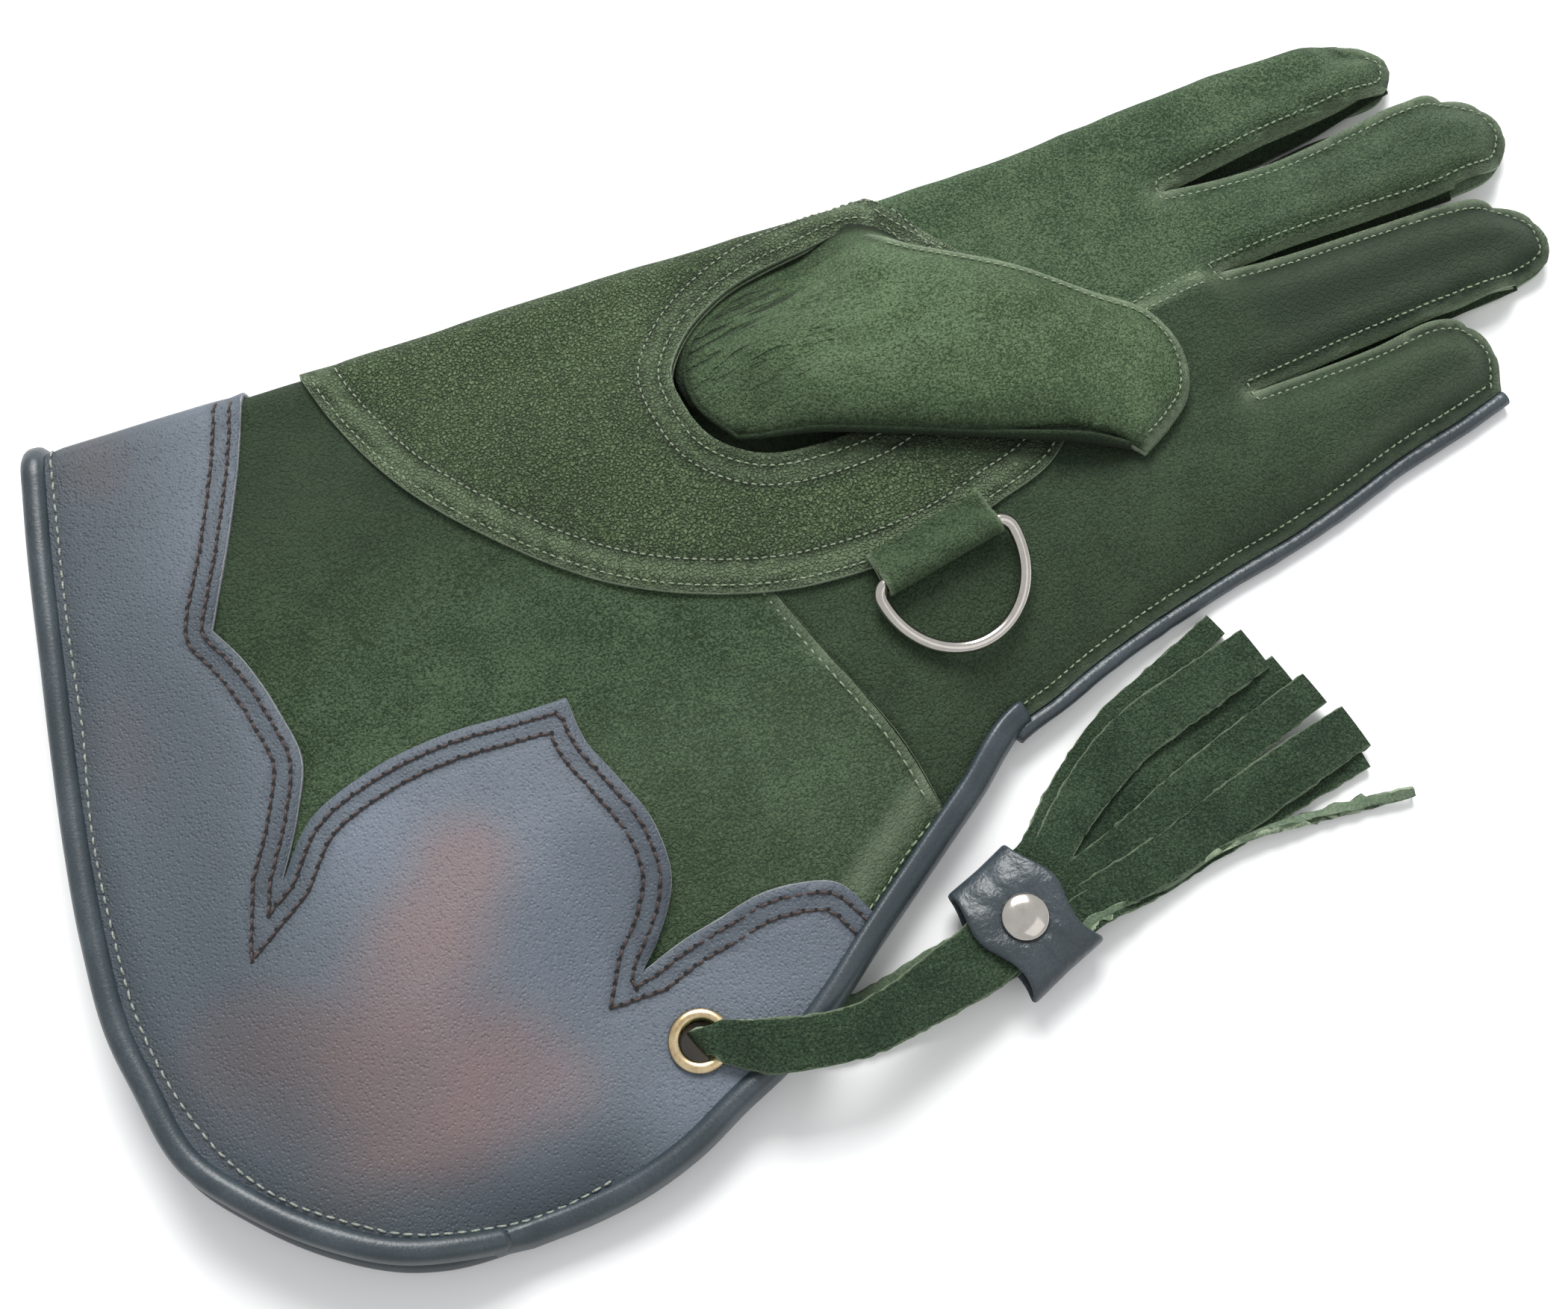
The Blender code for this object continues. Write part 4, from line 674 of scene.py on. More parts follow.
cutEdge = paleLeather("cut_edge", (0.120, 0.165, 0.100), (0.330, 0.400, 0.280))
slateEdge = paleLeather("slate_edge", (0.13, 0.14, 0.15), (0.36, 0.37, 0.38))
fleshSide = paleLeather("flesh_side", (0.050, 0.080, 0.045), (0.170, 0.225, 0.150))
navyEdge = paleLeather("navy_edge", (0.030, 0.038, 0.048), (0.085, 0.100, 0.115))
greenThread = thread("green_thread", (0.095, 0.140, 0.078), (0.280, 0.345, 0.225))
rimThread = thread("rim_thread", (0.120, 0.140, 0.120), (0.340, 0.370, 0.320))
brownThread = thread("brown_thread", (0.014, 0.008, 0.007), (0.075, 0.042, 0.034), 0.5)
needleHoleShade = thread("needle_hole_shade", (0.004, 0.004, 0.004), (0.010, 0.009, 0.008), 0.9)
nickelPlate = plate("nickel_plate", (0.50, 0.46, 0.42), (0.58, 0.55, 0.51), 0.12)
brassPlate = plate("brass_plate", (0.46, 0.34, 0.18), (0.74, 0.60, 0.38), 0.26)
print("finishes ready")


def mitred(line):  # a corner put back where an inset line was left open
    found = [line[0]]
    for i in range(1, len(line)):
        before, after = line[i - 1], line[i]
        if np.linalg.norm(after - before) > 0.0014 and 4 <= i < len(line) - 4:
            p, q = before - line[i - 4], line[i + 3] - after
            cross = p[0] * q[1] - p[1] * q[0]
            if abs(cross) > 1e-9:
                t = ((after - before)[0] * q[1] - (after - before)[1] * q[0]) / cross
                if 0 < t * np.linalg.norm(p) < 0.012:
                    found.append(before + p * t)
        found.append(after)
    return np.array(found)


def notched(line, notches):  # a row drawn straight into the point of each notch
    for point, reach in notches:
        away = np.linalg.norm(line - point, axis=1)
        gaps = np.linalg.norm(np.diff(line, axis=0), axis=1)
        near = [i for i in range(len(gaps)) if gaps[i] > 0.0012 and away[i] < 0.022]
        if near:
            split = max(near, key=lambda i: gaps[i])
            first, last = line[:split + 1], line[split + 1:]
            first = first[np.linalg.norm(first - point, axis=1) > reach]
            last = last[np.linalg.norm(last - point, axis=1) > reach]
            line = np.concatenate([first, [point], last])
    return line


def rowBeside(line, distance, closed=False):
    if closed:
        line = np.concatenate([line, line[:1]])
    return mitred(insetLine(line, distance))


def onPalm(base):
    return lambda points, lift: skin(toPattern(points, -1), base + lift)


def stitchRow(name, line, surface, look, material=greenThread, holes=0.0):
    pitch, thick, sink = look["pitch"], look["thick"], 0.00012
    walk = resample(line, pitch)
    rng = np.random.default_rng(len(walk))
    middle = (walk[:-1] + walk[1:]) / 2
    run = walk[1:] - walk[:-1]
    reach = np.linalg.norm(run, axis=1)
    middle, run = middle[reach > 0.2 * pitch], run[reach > 0.2 * pitch]
    run = unit(run)
    run = run + 0.07 * rng.standard_normal((len(run), 1)) * leftOf(run)
    half = look["stitch"] / 2 * (1 + 0.08 * rng.standard_normal(len(run)))[:, None]
    first, last = surface(middle - run * half, -sink), surface(middle + run * half, -sink)
    centre = surface(middle, thick * 0.35)
    up = unit(surface(middle, 0.001) - surface(middle, 0.0))
    ahead = unit(last - first)
    aside = np.cross(ahead, up)
    verts, faces = [], []
    for i in range(len(centre)):
        start = len(verts)
        for share, size in ((-1.0, 0.35), (-0.72, 0.85), (0.0, 1.0), (0.72, 0.85), (1.0, 0.35)):
            lift = 1 - share * share
            core = first[i] + (last[i] - first[i]) * (share + 1) / 2
            core = core + up[i] * (lift * thick * 0.55)
            for angle in np.arange(6) * pi / 3:
                verts.append(core + thick / 2 * size
                             * (aside[i] * cos(angle) + up[i] * sin(angle)))
        faces += [tuple(start + n for n in face) for face in gridFaces(5, 6, True)]
        faces += [tuple(start + n for n in range(5, -1, -1)),
                  tuple(start + 24 + n for n in range(6))]
    piece(name, verts, faces, [material])
    # dark discs at the stitch holes: painted shade inside the needle holes
    if holes:
        verts, faces = [], []
        ends = surface(middle + run * (pitch / 2), 0.00005)
        for place, u, v in zip(ends, ahead, aside):
            start = len(verts)
            verts += [place + holes * (u * cos(a) + v * sin(a)) for a in np.arange(8) * pi / 4]
            faces.append(tuple(range(start, start + 8)))
        piece(name + "_hole_shade", verts, faces, [needleHoleShade])


def lined(grain):  # a leather's outside, its cut edge and its flesh side
    return [grain, cutEdge, fleshSide]


def sheetPiece(name, outer, holes, layered, finishes, replaced, shape):
    step = sizes["mesh"]
    pattern, faces = flatMesh(outer, holes, step, step * 0.87 / foldArc, foldSpread, foldGather)
    lift, marks = shape(pattern, toPlan(pattern))
    verts = skin(pattern, lift + (sizes["layerGap"] if layered else 0.0))
    obj = piece(name, verts, faces, finishes, [replaced], marks)
    thicken(obj, sizes["facing" if layered else "leather"], layered, 2, 1)


def thinned(line):  # fewer points where a line is nearly straight
    keep = [0]
    for i in range(1, len(line) - 1):
        a, b = line[i] - line[keep[-1]], line[i + 1] - line[i]
        bend = abs(a[0] * b[1] - a[1] * b[0]) / max(np.linalg.norm(a) * np.linalg.norm(b), 1e-12)
        if bend * np.linalg.norm(a) > 0.00006 or np.linalg.norm(a) > 0.012:
            keep.append(i)
    return line[keep + [len(line) - 1]]


def nearRow(where, lines, width):
    best = np.full(len(where), 1.0)
    for line in lines:
        best = np.minimum(best, distanceTo(where, thinned(line)))
    return bell(best, width)


# the hand: one folded piece, sewn round the fingers
handSet = {"rowInset": 0.0029, "rowDepth": 0.00030, "pitch": 0.0021, "stitch": 0.0014,
           "thick": 0.00050, "wrinkle": 0.00035, "seamSide": 0.0016}
handSide = between(sideCurve, wristCurve[-1, 0] + 0.0006, sideCurve[-1, 0])
fingerRow = rowBeside(tipCurve, -handSet["rowInset"])
pipingRow = rowBeside(between(sideCurve, float(planX(0.10)), sideCurve[-1, 0] - 0.003),
                      handSet["rowInset"])
splitLine = plan([(0.560, 0.395), (0.47, 0.420), (0.40, 0.455), (0.30, 0.50)])


def thumbShadow(where):  # painted shadow below the thumb's folded side
    line = plan([(-0.030, 0.425), (0.072, 0.485), (0.230, 0.590), (0.390, 0.690)])
    return 0.55 * bell(distanceTo(where, line), 0.0065)


def handShape(pattern, where):
    palm = pattern[:, 1] < 0
    edge = np.minimum(distanceTo(where, tipCurve[::2]), distanceTo(where, handSide[::2]))
    rows = nearRow(where, [fingerRow, pipingRow], 0.0010)
    x, y = where[:, 0], where[:, 1]
    wrinkle = cloud(x, y, 0.016, 3) + 0.5 * cloud(x, y, 0.007, 4)
    seam = nearRow(where, [splitLine], 0.0012)
    lift = handSet["wrinkle"] * wrinkle * smooth((edge - 0.004) / 0.01)
    lift = lift - np.where(palm, handSet["rowDepth"] * rows, 0) + np.where(palm, 0.0004 * seam, 0)
    lift = np.where(palm, lift, np.minimum(lift, 0))  # the back stays above the table
    fingers = smooth((shareAlong(x) - 0.50) / 0.2)
    crotch = np.min([np.linalg.norm(where - line[0], axis=1) for line in gapLines], axis=0)
    worn = 0.70 * bell(edge, 0.0010) + np.where(palm, 0.62 * seam, 0)
    worn = worn + 0.10 * fingers * bell(edge - 0.0075, 0.0030) + 0.30 * bell(crotch, 0.004)
    shade = np.clip(np.where(palm, 0.45 * rows, 0.0) + np.where(palm, thumbShadow(where), 0), 0, 1)
    # painted shade, darker towards the lower side: the palm past the seam from the middle gap, the
    # fingers below the index gap, more below the middle gap, and most the ring finger
    split = np.interp(x, [planX(a) for a in (-0.2, 0.30, 0.40, 0.47, 0.56, 1.0)],
                      [sizes["foldReach"] - a * palmWidth
                       for a in (0.50, 0.50, 0.455, 0.420, 0.395, 0.391)])
    past = smooth((split - y) / 0.002)
    pastIndex, pastMiddle = (
        smooth((x - planX(start)) / 0.03) * smooth((np.interp(x, *line.T) - y) / 0.002)
        for start, line in zip((0.62, 0.60), gapLines))
    ringFinger = past * smooth((y - (split - 0.036)) / 0.006) * fingers
    deep = np.clip(past * 0.78 + 0.22 * pastMiddle + 0.5 * ringFinger, 0, 1.3)
    deep = np.maximum(deep, 0.42 * pastIndex)
    return lift, {"worn": worn, "shade": shade, "deep": deep}


def makeHand():
    tips = tipCurve.copy()
    tips[-1] = handSide[-1]
    seam = wristCurve + np.array([0.0004, 0.0])
    edge = np.concatenate([tips[:-1], handSide[::-1][:-1], seam[::-1]])
    sheetPiece("hand_nap_skin", patternLoop(edge, edge), [toPattern(holeCurve, -1)], False,
               lined(handNap), "hand_leather", handShape)


makeHand()
stitchRow("finger_stitches", fingerRow[12:], onPalm(-0.0001), handSet)
stitchRow("piping_stitches", pipingRow, onPalm(-0.0001), handSet)
for number, offset in enumerate((-handSet["seamSide"], handSet["seamSide"])):
    stitchRow(f"palm_seam_stitches_{number + 1}",
              offsetCurve(smoothCurve(splitLine, 0.002), offset), onPalm(0.0), handSet)
print("hand ready")

# the gauntlet under the facing and the patch
gauntletSet = {"wrinkle": 0.00055, "pitch": 0.0026, "stitch": 0.0017, "thick": 0.00055}
wristRow = resample(wristCurve, 0.002)
wristRow = wristRow[(wristRow[:, 1] < plan([(-0.1, 0.60)])[0, 1])] + np.array([-0.0024, 0.0])


def gauntletShape(pattern, where):
    palm = pattern[:, 1] < 0
    rows = nearRow(where, [wristRow], 0.0011)
    ridge = nearRow(where, [wristRow + np.array([0.0016, 0.0])], 0.0014)
    x, y = where[:, 0], where[:, 1]
    wrinkle = (cloud(x, y * 2.2, 0.030, 7) + 0.6 * cloud(x * 1.3, y * 0.6, 0.013, 8)
               + 0.35 * cloud(x, y, 0.006, 9))
    lift = gauntletSet["wrinkle"] * wrinkle * smooth(distanceTo(where, sideCurve[::3]) / 0.012)
    lift = lift * smooth((np.linalg.norm(where - eyeletPoint, axis=1) - 0.01) / 0.02) * smooth(
        (x - rimCurve[:, 0].min() - 0.01) / 0.03)
    lift = lift - np.where(palm, 0.0004 * rows - 0.0004 * ridge, 0)
    sideStrip = np.exp(-(((distanceTo(where, sideCurve[::3]) - 0.0105) / 0.0035) ** 4))
    band = (x > planX(-0.30)) & palm
    worn = np.where(palm, 0.45 * ridge, 0) + np.where(band, 0.34 * sideStrip, 0)
    # painted light: lighter towards the bottom; the deep mark below is painted shade, darker
    # towards the fold, and the shade mark paints shade in the row's groove
    worn = worn + 0.07 * smooth((0.01 - y) / 0.03)
    return np.minimum(lift, 0.0002), {"worn": worn, "shade": np.where(palm, 0.35 * rows, 0),
                                      "deep": 0.95 * smooth((y - 0.01) / 0.07)}


def eyeletHoles():  # through the palm's layer and the back's
    ring = eyeletPoint + 0.0054 * np.array([(cos(a), sin(a)) for a in np.arange(20) * pi / 10])
    return [toPattern(ring, side) for side in (-1, 1)]


def makeGauntlet():
    side = between(sideCurve, sideCurve[0, 0], wristCurve[-1, 0])
    palm, back = (np.concatenate([wristCurve[:-1], side[::-1][:-1], rim[::-1]])
                  for rim in (rimCurve, backRimCurve))
    sheetPiece("gauntlet_nap_skin", patternLoop(palm, back), eyeletHoles(), False,
               lined(gauntletNap), "gauntlet_leather", gauntletShape)


makeGauntlet()
stitchRow("wrist_stitches", wristRow[3:-4], onPalm(-0.0001), gauntletSet)
print("gauntlet ready")

# the palm patch with its two rows, and the thumb's hole with its two
patchRows = ((-0.540, 0.0, 1), (-0.514, 0.075, 0), (-0.451, 0.198, 0), (-0.363, 0.322, 0),
             (-0.244, 0.495, 0), (-0.124, 0.657, 0), (-0.040, 0.738, 0), (0.040, 0.758, 0),
             (0.159, 0.745, 0), (0.222, 0.717, 0), (0.302, 0.666, 0), (0.335, 0.610, 0),
             (0.350, 0.48, 0), (0.322, 0.28, 0), (0.262, 0.13, 0), (0.215, 0.02, 1))
patchSet = {"rows": (0.0020, 0.0084), "holeRows": (0.0033, 0.0083),
            "pitch": 0.0021, "stitch": 0.0014, "thick": 0.00048, "groove": 0.00030,
            "hole": 0.00034}
patchCurve = curveOf(patchRows, edgeStep)
patchCurve[0, 1] = foldLine(patchCurve[:1, 0])[0]
patchCurve[-1, 1] = foldLine(patchCurve[-1:, 0])[0]
patchEdgeRows = [rowBeside(patchCurve, d) for d in patchSet["rows"]]
holeEdgeRows = [rowBeside(holeCurve, -d, True) for d in patchSet["holeRows"]]


def patchShape(pattern, where):
    rows = nearRow(where, patchEdgeRows + holeEdgeRows, 0.0011)
    edge = distanceTo(where, patchCurve[::2])
    strip = smooth((edge - 0.0026) / 0.001) * smooth((0.0084 - edge) / 0.001)
    hole = distanceTo(where, np.concatenate([holeCurve, holeCurve[:1]])[::2])
    x, y = where[:, 0], where[:, 1]
    wrinkle = cloud(x, y, 0.022, 12) + 0.5 * cloud(x, y, 0.009, 13)
    lift = 0.00022 * wrinkle - patchSet["groove"] * rows + 0.0002 * bell(hole, 0.0016)
    worn = 0.45 * strip + 0.9 * bell(edge, 0.0010) + 0.8 * bell(hole, 0.0014)
    worn = worn + 0.28 * smooth((hole - 0.0036) / 0.001) * smooth((0.0083 - hole) / 0.001)
    # painted shadow below the thumb, where the paler marks are held back; the patch is also made
    # lighter towards the bottom
    shade = np.clip(0.55 * rows + thumbShadow(where), 0, 1)
    worn = (worn + 0.09 * smooth((0.035 - y) / 0.05)) * (1 - thumbShadow(where))
    return np.maximum(lift, -0.0003), {"worn": worn, "shade": shade}


def makePatch():
    palm = refineAtFold(toPattern(patchCurve, -1))
    ends = [np.array([[palm[i, 0], turn / 6] for turn in range(5)]) for i in (-1, 0)]
    back = np.linspace(ends[0][-1], ends[1][-1], 60)
    outer = np.concatenate([palm, ends[0][1:-1], back, ends[1][1:-1][::-1]])
    sheetPiece("patch_skin", outer, [toPattern(holeCurve, -1)], True, lined(patchGrain),
               "palm_patch", patchShape)


makePatch()
for number, row in enumerate(patchEdgeRows + holeEdgeRows):
    stitchRow(f"patch_stitches_{number + 1}", row[6:-6] if number < 2 else row,
              onPalm(facingLayer - 0.0001), patchSet, greenThread,
              patchSet["hole"] if number % 2 else 0.0)
print("patch ready")

# the cuff facing, scalloped, with brown clouds and two rows in dark thread
facingRows = ((-0.612, 0.0, 1), (-0.651, 0.102, 0), (-0.688, 0.181, 0), (-0.735, 0.262, 1),
              (-0.712, 0.300, 0), (-0.685, 0.377, 0), (-0.676, 0.430, 0), (-0.702, 0.488, 0),
              (-0.745, 0.553, 1), (-0.690, 0.498, 0), (-0.609, 0.471, 0), (-0.493, 0.476, 0),
              (-0.402, 0.520, 0), (-0.346, 0.556, 1), (-0.341, 0.618, 0), (-0.320, 0.690, 0),
              (-0.294, 0.795, 0), (-0.296, 0.862, 0), (-0.330, 0.884, 0), (-0.367, 0.884, 1),
              (-0.309, 0.929, 0), (-0.257, 0.984, 0), (-0.201, 1.049, 0), (-0.151, 1.124, 0),
              (-0.112, 1.190, 0), (-0.070, 1.328, 1))
rimStitchRows = ((-0.868, -0.005), (-0.912, 0.240), (-0.924, 0.316), (-0.946, 0.419),
                 (-0.956, 0.538), (-0.955, 0.643), (-0.935, 0.729), (-0.899, 0.805),
                 (-0.851, 0.860), (-0.790, 0.902), (-0.730, 0.934), (-0.666, 0.951),
                 (-0.596, 0.959), (-0.525, 0.975), (-0.483, 0.993))
sideStitchRows = ((-0.209, 1.226), (-0.153, 1.269), (-0.097, 1.286), (-0.055, 1.287),
                  (-0.012, 1.259), (0.026, 1.221))
# brown clouds: along, across, reach along and across in metres, strength
stainRows = ((-0.82, 0.030, 0.007, 0.007, 0.60), (-0.878, 0.354, 0.006, 0.011, 0.38),
             (-0.535, 0.610, 0.0095, 0.0085, 0.78), (-0.600, 0.665, 0.0115, 0.0095, 0.84),
             (-0.840, 0.715, 0.0140, 0.0100, 0.82), (-0.715, 0.755, 0.0165, 0.0140, 0.92),
             (-0.700, 0.860, 0.0150, 0.0080, 0.82), (-0.590, 0.810, 0.0120, 0.0120, 0.80),
             (-0.510, 0.875, 0.0080, 0.0070, 0.45))
facingSet = {"rows": (0.0027, 0.0067), "pitch": 0.00285, "stitch": 0.0022, "thick": 0.00072,
             "groove": 0.00048, "hole": 0.00058}
rimRowSet = {"pitch": 0.0029, "stitch": 0.0021, "thick": 0.00062}
sideRowSet = {"pitch": 0.0026, "stitch": 0.0019, "thick": 0.00055}
facingCurve = fromFold(curveOf(facingRows, edgeStep))
facingCurve[-1, 1] = np.interp(facingCurve[-1, 0], sideCurve[:, 0], sideCurve[:, 1])
facingNotches = ((((-0.771, 0.580), 0.0075), ((-0.388, 0.880), 0.0050)),
                 (((-0.807, 0.620), 0.0170), ((-0.421, 0.864), 0.0130)))
facingEdgeRows = [notched(insetLine(facingCurve, -d), [(plan([p])[0], r) for p, r in points])
                  for d, points in zip(facingSet["rows"], facingNotches)]
rimStitchLine = smoothCurve(plan(rimStitchRows), 0.002)
sideStitchLine = smoothCurve(plan(sideStitchRows), 0.002)


def facingShape(pattern, where):
    palm = pattern[:, 1] < 0
    rows = nearRow(where, facingEdgeRows, 0.0011)
    rim = nearRow(where, [rimStitchLine], 0.0014)
    edge = distanceTo(where, facingCurve[::2])
    x, y = where[:, 0], where[:, 1]
    calm = smooth((np.linalg.norm(where - eyeletPoint, axis=1) - 0.012) / 0.02)
    wrinkle = cloud(x, y, 0.034, 21) + 0.35 * cloud(x, y, 0.013, 22)
    lift = 0.00025 * wrinkle * calm - np.where(
        palm, facingSet["groove"] * rows + 0.0003 * rim, 0)
    stain = np.zeros(len(where))
    for row in stainRows:
        away = (where - plan([row])[0]) / np.array(row[2:4])
        away = away + 0.30 * cloud(x, y, 0.017, 23)[:, None]
        cloudy = row[4] * np.exp(-0.42 * (away ** 2).sum(axis=1) ** 1.4)
        stain = stain + (1 - stain) * cloudy
    # painted shade: the shade mark darkens the rows' grooves, the rim row and the back along its
    # edge; the deep mark darkens towards the left, the top and the rim row, and along the border
    shade = np.where(palm, 0.40 * rows + 0.35 * rim, 0.2 * bell(edge, 0.001))
    left = smooth((planX(-0.60) - x) / 0.05) * 0.66
    border = 0.26 * smooth((0.0085 - edge) / 0.004)
    dark = 0.80 * smooth((0.026 - distanceTo(where, rimStitchLine[::2])) / 0.026)
    deep = np.maximum(left + 0.10 * smooth((y - 0.05) / 0.05), dark) + border
    deep = np.clip(deep, 0, 0.85)
    return np.maximum(lift, -0.0004), {"stain": stain, "shade": shade, "deep": deep}


def makeFacing():
    side = between(sideCurve, sideCurve[0, 0], facingCurve[-1, 0])
    straight = fromFold(smoothCurve([facingCurve[0], facingCurve[-1]], edgeStep))
    palm, back = (np.concatenate([edge[:-1], side[::-1][:-1], rim[::-1]])
                  for edge, rim in ((facingCurve, rimCurve), (straight, backRimCurve)))
    sheetPiece("facing_skin", patternLoop(palm, back), eyeletHoles(), True,
               [facingGrain, slateEdge, fleshSide], "cuff_facing", facingShape)


makeFacing()
for number, row in enumerate(facingEdgeRows):
    stitchRow(f"facing_stitches_{number + 1}", row[4:-4], onPalm(facingLayer - 0.00015),
              facingSet, brownThread, facingSet["hole"])
stitchRow("rim_stitches", rimStitchLine, onPalm(facingLayer), rimRowSet, rimThread)
stitchRow("side_stitches", sideStitchLine, onPalm(facingLayer * 0.4), sideRowSet)
print("facing ready")

# the navy rolls round the rim and along the side, and the round piping
rollSet = {"overlap": 0.0046, "bulge": 0.0018, "power": 2.4, "sides": 20, "join": 0.0080,
           "gap": -0.0030, "slot": 0.0022, "piping": 0.0021, "bindingEnd": 0.175,
           "pipingStep": 0.0012, "pipingSides": 14}
rollReach = facingLayer + sizes["bindingGap"] + sizes["binding"]


def squareRound(sides, power):  # a circle pushed out towards a square
    for a in np.arange(sides) * 2 * pi / sides:
        u, v = cos(a), sin(a)
        size = (abs(u) ** power + abs(v) ** power) ** (-1 / power)
        yield u * size, v * size


def rollSection(high, low, inner, outer):
    middle, tall = (high + low) / 2, (high - low) / 2
    centre, half = (inner + outer) / 2, (outer - inner) / 2
    return [(centre + half * u, middle + tall * v)
            for u, v in squareRound(rollSet["sides"], rollSet["power"])]


def tubePiece(name, rings, grain, replaced):
    count = len(rings[0])
    verts = [p for ring in rings for p in ring]
    faces = gridFaces(len(rings), count, True)
    last = (len(rings) - 1) * count
    faces += [tuple(range(count - 1, -1, -1)), tuple(range(last, last + count))]
    run = walked(np.array([np.mean(ring, axis=0) for ring in rings]))
    marks = {"run": np.repeat(run, count), "side": np.tile(np.arange(count) * 0.0006, len(rings)),
             "shade": np.zeros(len(verts))}
    faceOut(piece(name, verts, faces, [grain], [replaced], marks))


def makeRimRoll():
    join = rollSet["join"] + rollSet["gap"]
    palm = toPattern(cutAt(rimCurve[::-1], join)[1][::-1], -1)
    back = toPattern(cutAt(backRimCurve[::-1], join)[1][::-1], 1)
    path = refineAtFold(np.concatenate([palm[::-1], back[1:]]))
    scale = np.array([1.0, foldArc])
    outward = leftOf(unit(np.gradient(path * scale, axis=0)))
    low = -sizes["leather"] - sizes["bindingGap"] - sizes["binding"]
    rings = []
    for place, out in zip(path, outward):
        section = rollSection(rollReach, low, -rollSet["overlap"], rollSet["bulge"])
        pattern = np.array([place + out * u / scale for u, _ in section])
        rings.append(list(skin(pattern, np.array([lift for _, lift in section]))))
    tubePiece("rim_roll", rings, navyGrain, "cuff_binding")


def makeSideRoll():
    start = cutAt(rimCurve[::-1], rollSet["join"])[0][::-1]
    side = between(sideCurve, sideCurve[0, 0], float(planX(rollSet["bindingEnd"])))
    line = np.concatenate([start[:-1], side])
    outward = -leftOf(unit(np.gradient(line, axis=0)))
    rings = []
    toEnd = np.concatenate([np.cumsum(np.linalg.norm(np.diff(line, axis=0), axis=1)[::-1])[::-1],
                            [0.0]])
    for place, out, left in zip(line, outward, toEnd):
        slim = 0.72 + 0.28 * smooth(left / 0.010)
        inner = place - out * rollSet["overlap"]
        palm = palmTop(place[:1], place[1:])[0]
        top, low = palm + rollReach, backLevel(place[:1], place[1:])[0] - rollReach
        middle = (top + low) / 2
        top, low = middle + (top - middle) * slim, middle + (low - middle) * slim
        slope = palmTop(inner[:1], inner[1:])[0] - palm
        ring = []
        for u, v in rollSection(top, low, -rollSet["overlap"], rollSet["slot"] * slim):
            tilt = slope * smooth(-u / rollSet["overlap"]) * smooth((v - low) / (top - low))
            ring.append((*(place + out * u), v + tilt))
        rings.append(ring)
    tubePiece("side_roll", rings, navyGrain, "side_binding")


def makePiping():
    radius, step, sides = rollSet["piping"], rollSet["pipingStep"], rollSet["pipingSides"]
    line = between(sideCurve, float(planX(rollSet["bindingEnd"])) - 0.0050, sideCurve[-1, 0])
    line = resample(offsetCurve(line, -(radius - 0.0004)), step)
    centre = np.column_stack([line, np.maximum(backLevel(*line.T), 0.0002) + radius])
    run = unit(np.gradient(centre, axis=0))
    rings = []
    ripple = cloud(np.cumsum(np.full(len(line), step)), np.zeros(len(line)), 0.0035, 31)
    for place, along, wave in zip(centre, run, ripple):
        side = np.cross(along, (0.0, 0.0, 1.0))
        side /= np.linalg.norm(side)
        up = np.cross(side, along)
        size = radius * (1 + 0.06 * wave)
        rings.append([place + size * (side * cos(a) + up * sin(a))
                      for a in np.arange(sides) * -2 * pi / sides])
    tubePiece("piping_roll", rings, pipingGrain, "hand_piping")


makeRimRoll()
makeSideRoll()
makePiping()
print("rolls ready")

# walls between palm and back round each finger gap
forkSet = {"flange": 0.0027, "edge": -0.0003, "wall": 0.0011, "belly": 0.0009, "foot": 0.0040,
           "spans": (("fourchette_index_middle", 3, 10), ("fourchette_middle_ring", 15, 22),
                     ("fourchette_ring_little", 25, 30))}


def makeForks():
    rows = plan(tipRows)
    for name, first, last in forkSet["spans"]:
        line = smoothCurve(rows[first:last + 1], fineStep, False,
                           [row[2] for row in tipRows[first:last + 1]])
        sections = ((forkSet["edge"], 1.0), (forkSet["flange"] * 0.6, 1.0),
                    (forkSet["flange"], 0.90), (forkSet["flange"] - forkSet["belly"], 0.5),
                    (0.0014, 0.16), (0.0, 0.05), (-1.0, 0.0))
        room = np.min([distanceTo(line, gap) for gap in gapLines], axis=0)
        share = np.linspace(0, 1, len(line))
        fade = smooth(share * 5) * smooth((1 - share) * 5)
        foot = (np.minimum(forkSet["foot"], 0.85 * room) * fade)[:, None]
        columns = [offsetCurve(line, -inset) if inset > -0.5 else
                   line + (offsetCurve(line, 1.0) - line) * foot for inset, _ in sections]
        verts = []
        for i in range(len(line)):
            for (inset, share), column in zip(sections, columns):
                x, y = column[i:i + 1, 0], column[i:i + 1, 1]
                low = backLevel(x, y)[0] + sizes["leather"] + 0.0003
                high = max(palmTop(x, y)[0] - sizes["leather"] * 1.2 - 0.0003, low + 0.0001)
                verts.append((x[0], y[0], low + (high - low) * share))
        # pale top edge where worn; painted shade darkens the wall down into the finger gap, and
        # the deep mark darkens it all
        marks = {"worn": np.tile([1.2, 0.7, 0.1, 0.0, 0.0, 0.0, 0.0], len(line)),
                 "shade": np.tile([0.0, 0.0, 0.1, 0.3, 0.5, 0.6, 0.6], len(line)),
                 "deep": np.full(len(verts), 0.5)}
        obj = piece(name + "_wall", verts, gridFaces(len(line), len(sections)), lined(handNap),
                    [name], marks)
        thicken(obj, forkSet["wall"], rim=1)


makeForks()
print("finger walls ready")

